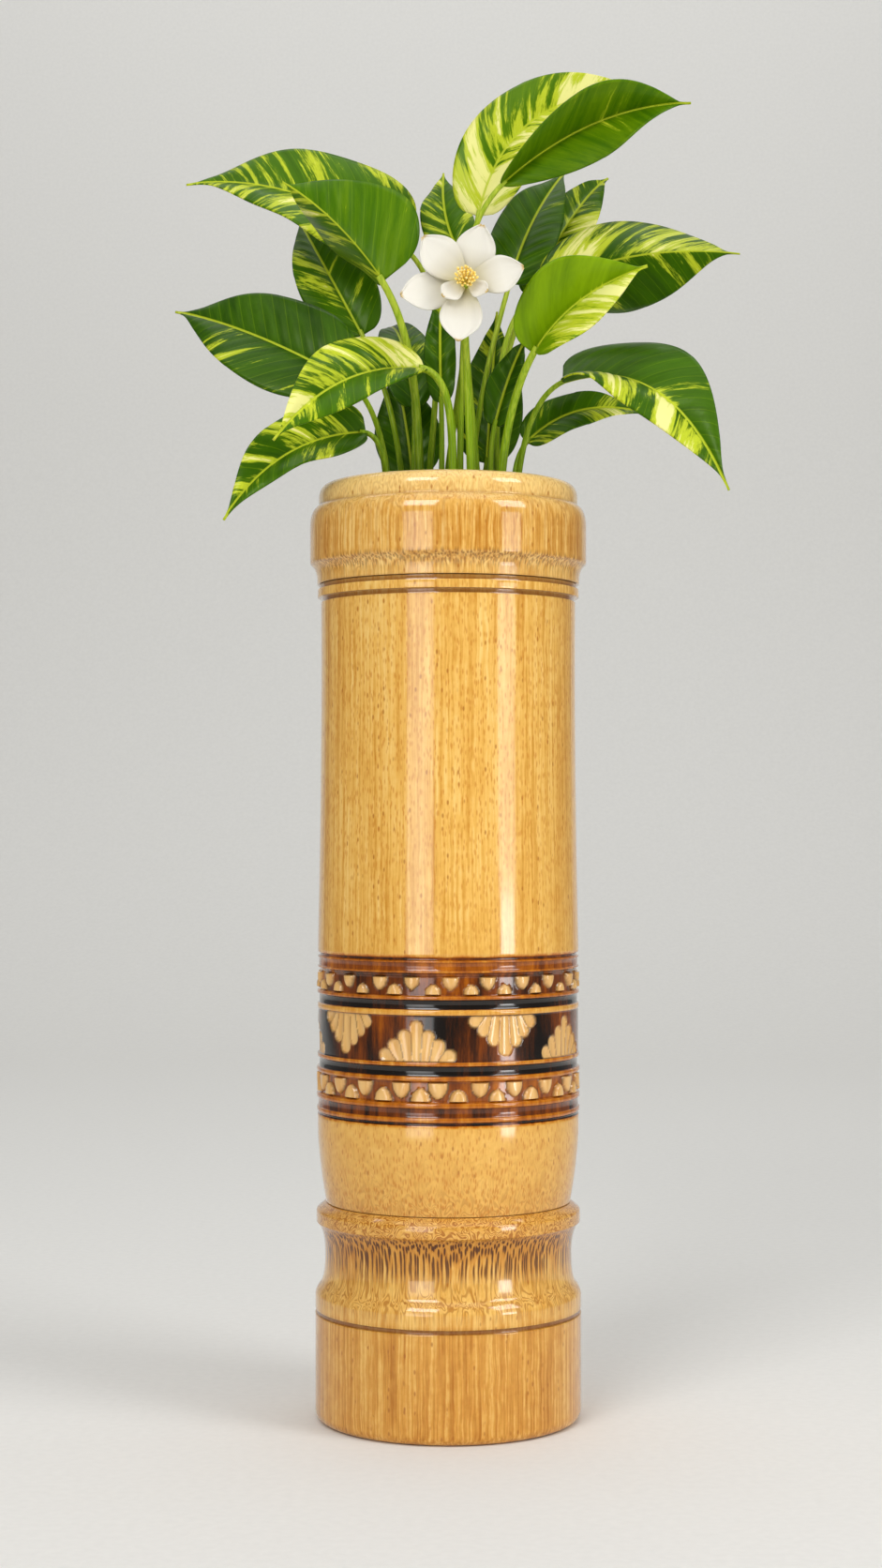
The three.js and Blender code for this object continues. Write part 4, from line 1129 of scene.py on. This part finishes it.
for i, (name, root, base, bend_at, tip, face, half, fold, widest, left, right, painted_sunlight) in enumerate(LEAVES):
    phase = rng.random()
    shape = leaf_shape(phase, MARGIN_WAVE * rng.uniform(*MARGIN_WAVE_SIZES))
    points = [over_rim(base), over_rim(bend_at), over_rim(tip)]
    bm, spots = blade_mesh(points, Vector(face), half, fold, widest, shape, **BLADE_FORM)
    vein_map = bm.loops.layers.uv.new("veins")
    cream_layer = bm.verts.layers.float.new("cream")
    painted_light_layer = bm.verts.layers.float.new("light")
    for vert, (side, t, width, length) in zip(bm.verts, spots):
        vert[cream_layer] = left + (right - left) * min(1, max(0, side * CREAM_DIVIDE + 0.5))
        # Painted light: the whole leaf's green is lighter or darker for the light it gets.
        vert[painted_light_layer] = painted_sunlight
        run = t * length - VEIN_SLANT * abs(side) * width
        for loop in vert.link_loops:
            loop[vein_map].uv = ((run + LEAF_APART * i) * MM, side * width * MM + MIDRIB_AT)
    blade = piece_from("blade_" + name, bm, leaf_skin)
    thicken(blade, BLADE_THICKNESS)
    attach(blade, "planting")
    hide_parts(f"leaf_{name}_blade")


# Flower stalk: a round green stem of its own, which rises from the mix among the leaf stalks.
# It bends over at its end, so that the bloom faces the viewer, and runs into the cup.

FLOWER_PLACE = (7, -47, 77)
FLOWER_FACE = (0.03, -0.97, 0.2)
FLOWER_ROOT = (10.5, -18)
FLOWER_STALK_RADIUS = 2
FLOWER_STALK_INSET = 1
CUP_LENGTH = 7

outward = Vector(FLOWER_FACE).normalized()
stalk_end = over_rim(FLOWER_PLACE) - outward * (CUP_LENGTH - FLOWER_STALK_INSET) * MM
flower_stalk = piece_from(
    "stalk_flower", stalk_mesh(FLOWER_ROOT, stalk_end, outward, FLOWER_STALK_RADIUS), stalk_green, sharp=60,
)
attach(flower_stalk, "planting")
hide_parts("flower_stalk")


# Flower cup: the round, fleshy green end of the flower's stalk, which carries the bloom.
# The petals are set round it, and the stamens stand on its domed top.

CUP_RADIUS = 3.2
CUP_FOOT_SHARE = 0.8
CUP_STEPS = 32
PETAL_LAYER = 2.2
CUP_TOP = 2 * PETAL_LAYER

rightward = Vector((0, 0, 1)).cross(outward).normalized()
upward = outward.cross(rightward)
to_flower = Matrix((rightward, upward, outward)).transposed().to_4x4()
to_flower = Matrix.Translation(over_rim(FLOWER_PLACE)) @ to_flower
cup_outline = traced(
    [(AXIS_PIN, -CUP_LENGTH), (FLOWER_STALK_RADIUS * CUP_FOOT_SHARE, -CUP_LENGTH)],
    ((CUP_RADIUS, -CUP_LENGTH / 2), (CUP_RADIUS, 0)),
    ((CUP_RADIUS, CUP_TOP), (AXIS_PIN, CUP_TOP)),
)
cup_mesh = turned(cup_outline, CUP_STEPS)
bmesh.ops.transform(cup_mesh, matrix=to_flower, verts=cup_mesh.verts)
flower_cup = piece_from("cup", cup_mesh, stalk_green)
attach(flower_cup, "planting")
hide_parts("flower_cup")


# Petals: five broad white petals in two layers, and two small inner ones above them, all set on the cup.
# Each is a thin, soft skin, hollow along its middle, and yellowish at its foot and at its very tip, with
# painted shade greying it towards the bloom's middle.

PETAL_THICKNESS = 0.5
PETAL_FORM = {"foot": 2.2, "end": 0.35, "powers": (0.5, 0.86), "reach": 1, "drip": 0, "grid": (20, 28)}
PETAL_WIDEST = 0.53
PETAL_FOLD = 13
PETAL_RISE = 3
PETAL_TUCK = 1.4
PETAL_HOLLOW = 0.16
PETAL_HOLLOW_AT = 0.7
PETAL_RIPPLE = 0.35
PETAL_RIPPLE_ACROSS = 9
PETAL_RIPPLE_ALONG = 5
# Each petal: its node, which way it points in degrees, its length, its half width, and its layer.
PETALS = [
    ("petal_right", 13, 24.5, 8.3, 1),
    ("petal_top", 74, 26.1, 8.6, 0),
    ("petal_upper_left", 133, 25.5, 9, 1),
    ("petal_lower_left", 193, 27.3, 8.6, 0),
    ("petal_bottom", 263, 27, 9, 1),
    ("inner_petal_left", 221, 12.5, 4.6, 2),
    ("inner_petal_right", 325, 10.5, 4, 2),
]
# Along each petal from its foot: its own yellowish foot and tip, and painted shade that greys it towards the
# middle of the bloom.
PETAL_WHITES_AND_SHADE = [
    (0, (190, 180, 100)), (0.14, (198, 189, 154)), (0.38, (214, 208, 191)), (0.6, (228, 224, 212)),
    (0.95, (231, 227, 216)), (0.995, (210, 180, 108)),
]
PETAL_LINE = (214, 208, 184)
PETAL_LINE_STRENGTH = 0.14
PETAL_LINE_STRETCH = 0.1


def petal_shape(side, t, width, length):
    """How a petal's skin lifts: a shallow hollow, and a ripple that grows to its rim."""
    out = abs(side)
    hollow = PETAL_HOLLOW * width * (out ** 2 - 2 * PETAL_HOLLOW_AT * out)
    return hollow + PETAL_RIPPLE * math.sin(PETAL_RIPPLE_ACROSS * side + PETAL_RIPPLE_ALONG * t) * out ** 2


petal_white, tree, shader, place = new_material("white_petal")
petal_place = node(tree, "UVMap", {}, uv_map="petal")
from_foot = node(tree, "SeparateXYZ", {0: petal_place}, "Y")
petal_lines = noisy(
    tree, stretched(tree, petal_place, (1, PETAL_LINE_STRETCH, 1)), scale=26, detail=3,
    noise_dimensions="2D",
)
petal_colour = ramp(tree, from_foot, *PETAL_WHITES_AND_SHADE)
plug(tree, shader, {
    "Base Color": washed(tree, petal_colour, tint(*PETAL_LINE), petal_lines, PETAL_LINE_STRENGTH),
    "Roughness": maths(tree, "MULTIPLY_ADD", petal_lines, 0.2, 0.4),
    "Specular IOR Level": 0.2,
    "Subsurface Weight": 0.05,
    "Subsurface Radius": (0.004, 0.004, 0.003),
    "Normal": bumps(tree, petal_lines, strength=0.12, depth=0.2),
})
for name, angle, length, half, layer in PETALS:
    turn = math.radians(angle)
    spoke = Vector((math.cos(turn), math.sin(turn), 0))
    start = CUP_RADIUS + 2 * FIT_GAP
    seat = Vector((0, 0, layer * PETAL_LAYER))
    rise = Vector((0, 0, PETAL_RISE))
    points = [
        (spoke * (start - PETAL_TUCK) + seat) * MM,
        (spoke * (start + (length - start) / 2) + seat - rise / 2) * MM,
        (spoke * length + seat + rise) * MM,
    ]
    bm, spots = blade_mesh(
        points, Vector((0, 0, 1)), half, PETAL_FOLD, PETAL_WIDEST, petal_shape, **PETAL_FORM,
    )
    petal_map = bm.loops.layers.uv.new("petal")
    for vert, (side, t, width, run) in zip(bm.verts, spots):
        for loop in vert.link_loops:
            loop[petal_map].uv = (side * 0.5 + 0.5, t)
    bmesh.ops.transform(bm, matrix=to_flower, verts=bm.verts)
    petal = piece_from("flower_" + name, bm, petal_white)
    thicken(petal, PETAL_THICKNESS)
    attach(petal, "planting")
    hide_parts(name)


# Stamens: a tuft of fine yellow threads that stand on the cup's top, in the middle of the bloom.
# They lean outward from the middle, the outer ones shorter, and each ends in a dusty head of pollen.

STAMEN_COUNT = 36
STAMEN_LENGTH = 6.4
STAMEN_LENGTHS = (0.75, 1.1)
STAMEN_OUTER_LOSS = 0.25
STAMEN_RADIUS = 0.26
STAMEN_TAPER = 0.7
STAMEN_SIDES = 6
STAMEN_TURN = 137.5
STAMEN_LEAN = 0.22
STAMEN_ROOT_SHARE = 0.6
STAMEN_ROOT_DEPTH = 0.4
STAMEN_FIRST = 0.3
TUFT_RADIUS = 3.2
ANTHER_RADIUS = 0.6
ANTHER_FORM = (1, 0.8, 1.5, 1)
POLLEN_DEEP = (255, 208, 64)
POLLEN_PALE = (255, 240, 160)

tuft_mesh = bmesh.new()
for i in range(STAMEN_COUNT):
    reach = TUFT_RADIUS * math.sqrt((i + STAMEN_FIRST) / STAMEN_COUNT)
    angle = i * math.radians(STAMEN_TURN)
    lean = Vector((math.cos(angle), math.sin(angle), 0)) * reach * STAMEN_LEAN + Vector((0, 0, 1))
    tall = STAMEN_LENGTH * rng.uniform(*STAMEN_LENGTHS) * (1 - STAMEN_OUTER_LOSS * reach / TUFT_RADIUS)
    root_reach = reach * STAMEN_ROOT_SHARE
    root = Vector((root_reach * math.cos(angle), root_reach * math.sin(angle), CUP_TOP - STAMEN_ROOT_DEPTH))
    stand = lean.to_track_quat("Z", "Y").to_matrix().to_4x4()
    middle = Matrix.Translation((root + lean.normalized() * tall / 2) * MM) @ stand
    bmesh.ops.create_cone(
        tuft_mesh, cap_ends=True, segments=STAMEN_SIDES, radius1=STAMEN_RADIUS * MM,
        radius2=STAMEN_RADIUS * STAMEN_TAPER * MM, depth=tall * MM, matrix=middle,
    )
    head = Matrix.Translation((root + lean.normalized() * tall) * MM) @ stand @ Matrix.Diagonal(ANTHER_FORM)
    bmesh.ops.create_icosphere(tuft_mesh, subdivisions=2, radius=ANTHER_RADIUS * MM, matrix=head)
bmesh.ops.transform(tuft_mesh, matrix=to_flower, verts=tuft_mesh.verts)
pollen, tree, shader, place = new_material("yellow_pollen")
dust = noisy(tree, place, scale=900, detail=3)
plug(tree, shader, {
    "Base Color": ramp(tree, dust, (0.35, POLLEN_DEEP), (0.65, POLLEN_PALE)),
    "Roughness": 0.6,
})
tuft = piece_from("stamens", tuft_mesh, pollen, sharp=60)
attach(tuft, "planting")
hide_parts("stamen_tuft")


# Studio: a pale floor that curves up into a plain backdrop, soft windows and panels to the left and right
# whose reflections run down the lacquer, a broad soft light overhead, and one that lights the backdrop.
# Its sizes are in metres.

FLOOR_REACH = 1.6
FLOOR_FRONT = 1.5
BACKDROP_AT = 1.6
BACKDROP_HEIGHT = 4
BACKDROP_ROUND = 0.8
BACKDROP_STEPS = 16
FLOOR_SHADE = (232, 231, 227)
FLOOR_PALE = (236, 235, 231)
EYE = Vector((0, -1.1177, 0.2545))
AIM = Vector((-0.0031, 0, 0.2711))
LENS = 59.64
SENSOR = 36
# Each soft box: its name, place, what it looks at, width, height, power, and its spread in degrees.
SOFT_BOXES = [
    ("right_window", (1.35, -0.9, 1.3), (0, 0, 0.3), 0.75, 0.65, 11.5, 180),
    ("left_window", (-0.75, -1.65, 1.45), (0, 0, 0.3), 0.95, 0.65, 17.5, 180),
    ("right_panel", (0.75, -0.59, 0.39), (0, 0, 0.39), 0.28, 0.32, 0.12, 60),
    ("right_sill", (0.75, -0.59, 0.115), (0, 0, 0.115), 0.22, 0.23, 0.18, 60),
    ("left_panel", (-0.39, -0.87, 0.27), (0, 0, 0.27), 0.4, 0.54, 0.28, 60),
    ("top_box", (0, -0.5, 2.4), (0, 0, 0.2), 2.2, 2.2, 15.5, 180),
    ("backdrop_box", (0, 0.9, 2.6), (0, 2.4, 0.9), 3, 0.8, 22, 180),
]
ROOM_LIGHT = 0.18


def stood(name, data, place, target):
    """A lamp or camera at its place, turned to look at the target."""
    holder = bpy.data.objects.new(name, data)
    holder.location = place
    holder.rotation_euler = (Vector(target) - Vector(place)).to_track_quat("-Z", "Y").to_euler()
    bpy.context.scene.collection.objects.link(holder)
    return holder


backdrop_back = BACKDROP_AT + BACKDROP_ROUND
rail = traced(
    [(-FLOOR_FRONT, 0), (BACKDROP_AT, 0)],
    ((backdrop_back, 0), (backdrop_back, BACKDROP_ROUND), BACKDROP_STEPS),
    ((backdrop_back, BACKDROP_HEIGHT),),
)
floor_mesh = bmesh.new()
rail_verts = [floor_mesh.verts.new((-FLOOR_REACH, y, z)) for y, z in rail]
rail_edges = [floor_mesh.edges.new(pair) for pair in zip(rail_verts, rail_verts[1:])]
drawn = bmesh.ops.extrude_edge_only(floor_mesh, edges=rail_edges)["geom"]
bmesh.ops.translate(floor_mesh, verts=only(bmesh.types.BMVert, drawn), vec=(2 * FLOOR_REACH, 0, 0))
bmesh.ops.recalc_face_normals(floor_mesh, faces=floor_mesh.faces)
pale_floor, tree, shader, place = new_material("pale_floor")
felt = noisy(tree, place, scale=240, detail=4)
plug(tree, shader, {
    "Base Color": ramp(tree, felt, (0.3, FLOOR_SHADE), (0.7, FLOOR_PALE)),
    "Roughness": 0.85,
})
floor = piece_from("studio_floor", floor_mesh, pale_floor)

for name, place, target, width, height, power, spread in SOFT_BOXES:
    lamp = bpy.data.lights.new(name, "AREA")
    lamp.shape = "RECTANGLE"
    lamp.size = width
    lamp.size_y = height
    lamp.energy = power
    lamp.spread = math.radians(spread)
    stood(name, lamp, place, target)

room = bpy.data.worlds.new("studio_room")
room.use_nodes = True
plug(room.node_tree, room.node_tree.nodes["Background"], {"Color": (1, 1, 1, 1), "Strength": ROOM_LIGHT})
bpy.context.scene.world = room

camera_data = bpy.data.cameras.new("viewer")
camera_data.lens = LENS
camera_data.sensor_width = SENSOR
bpy.context.scene.camera = stood("viewer", camera_data, EYE, AIM)
bpy.context.scene.view_settings.view_transform = "Standard"
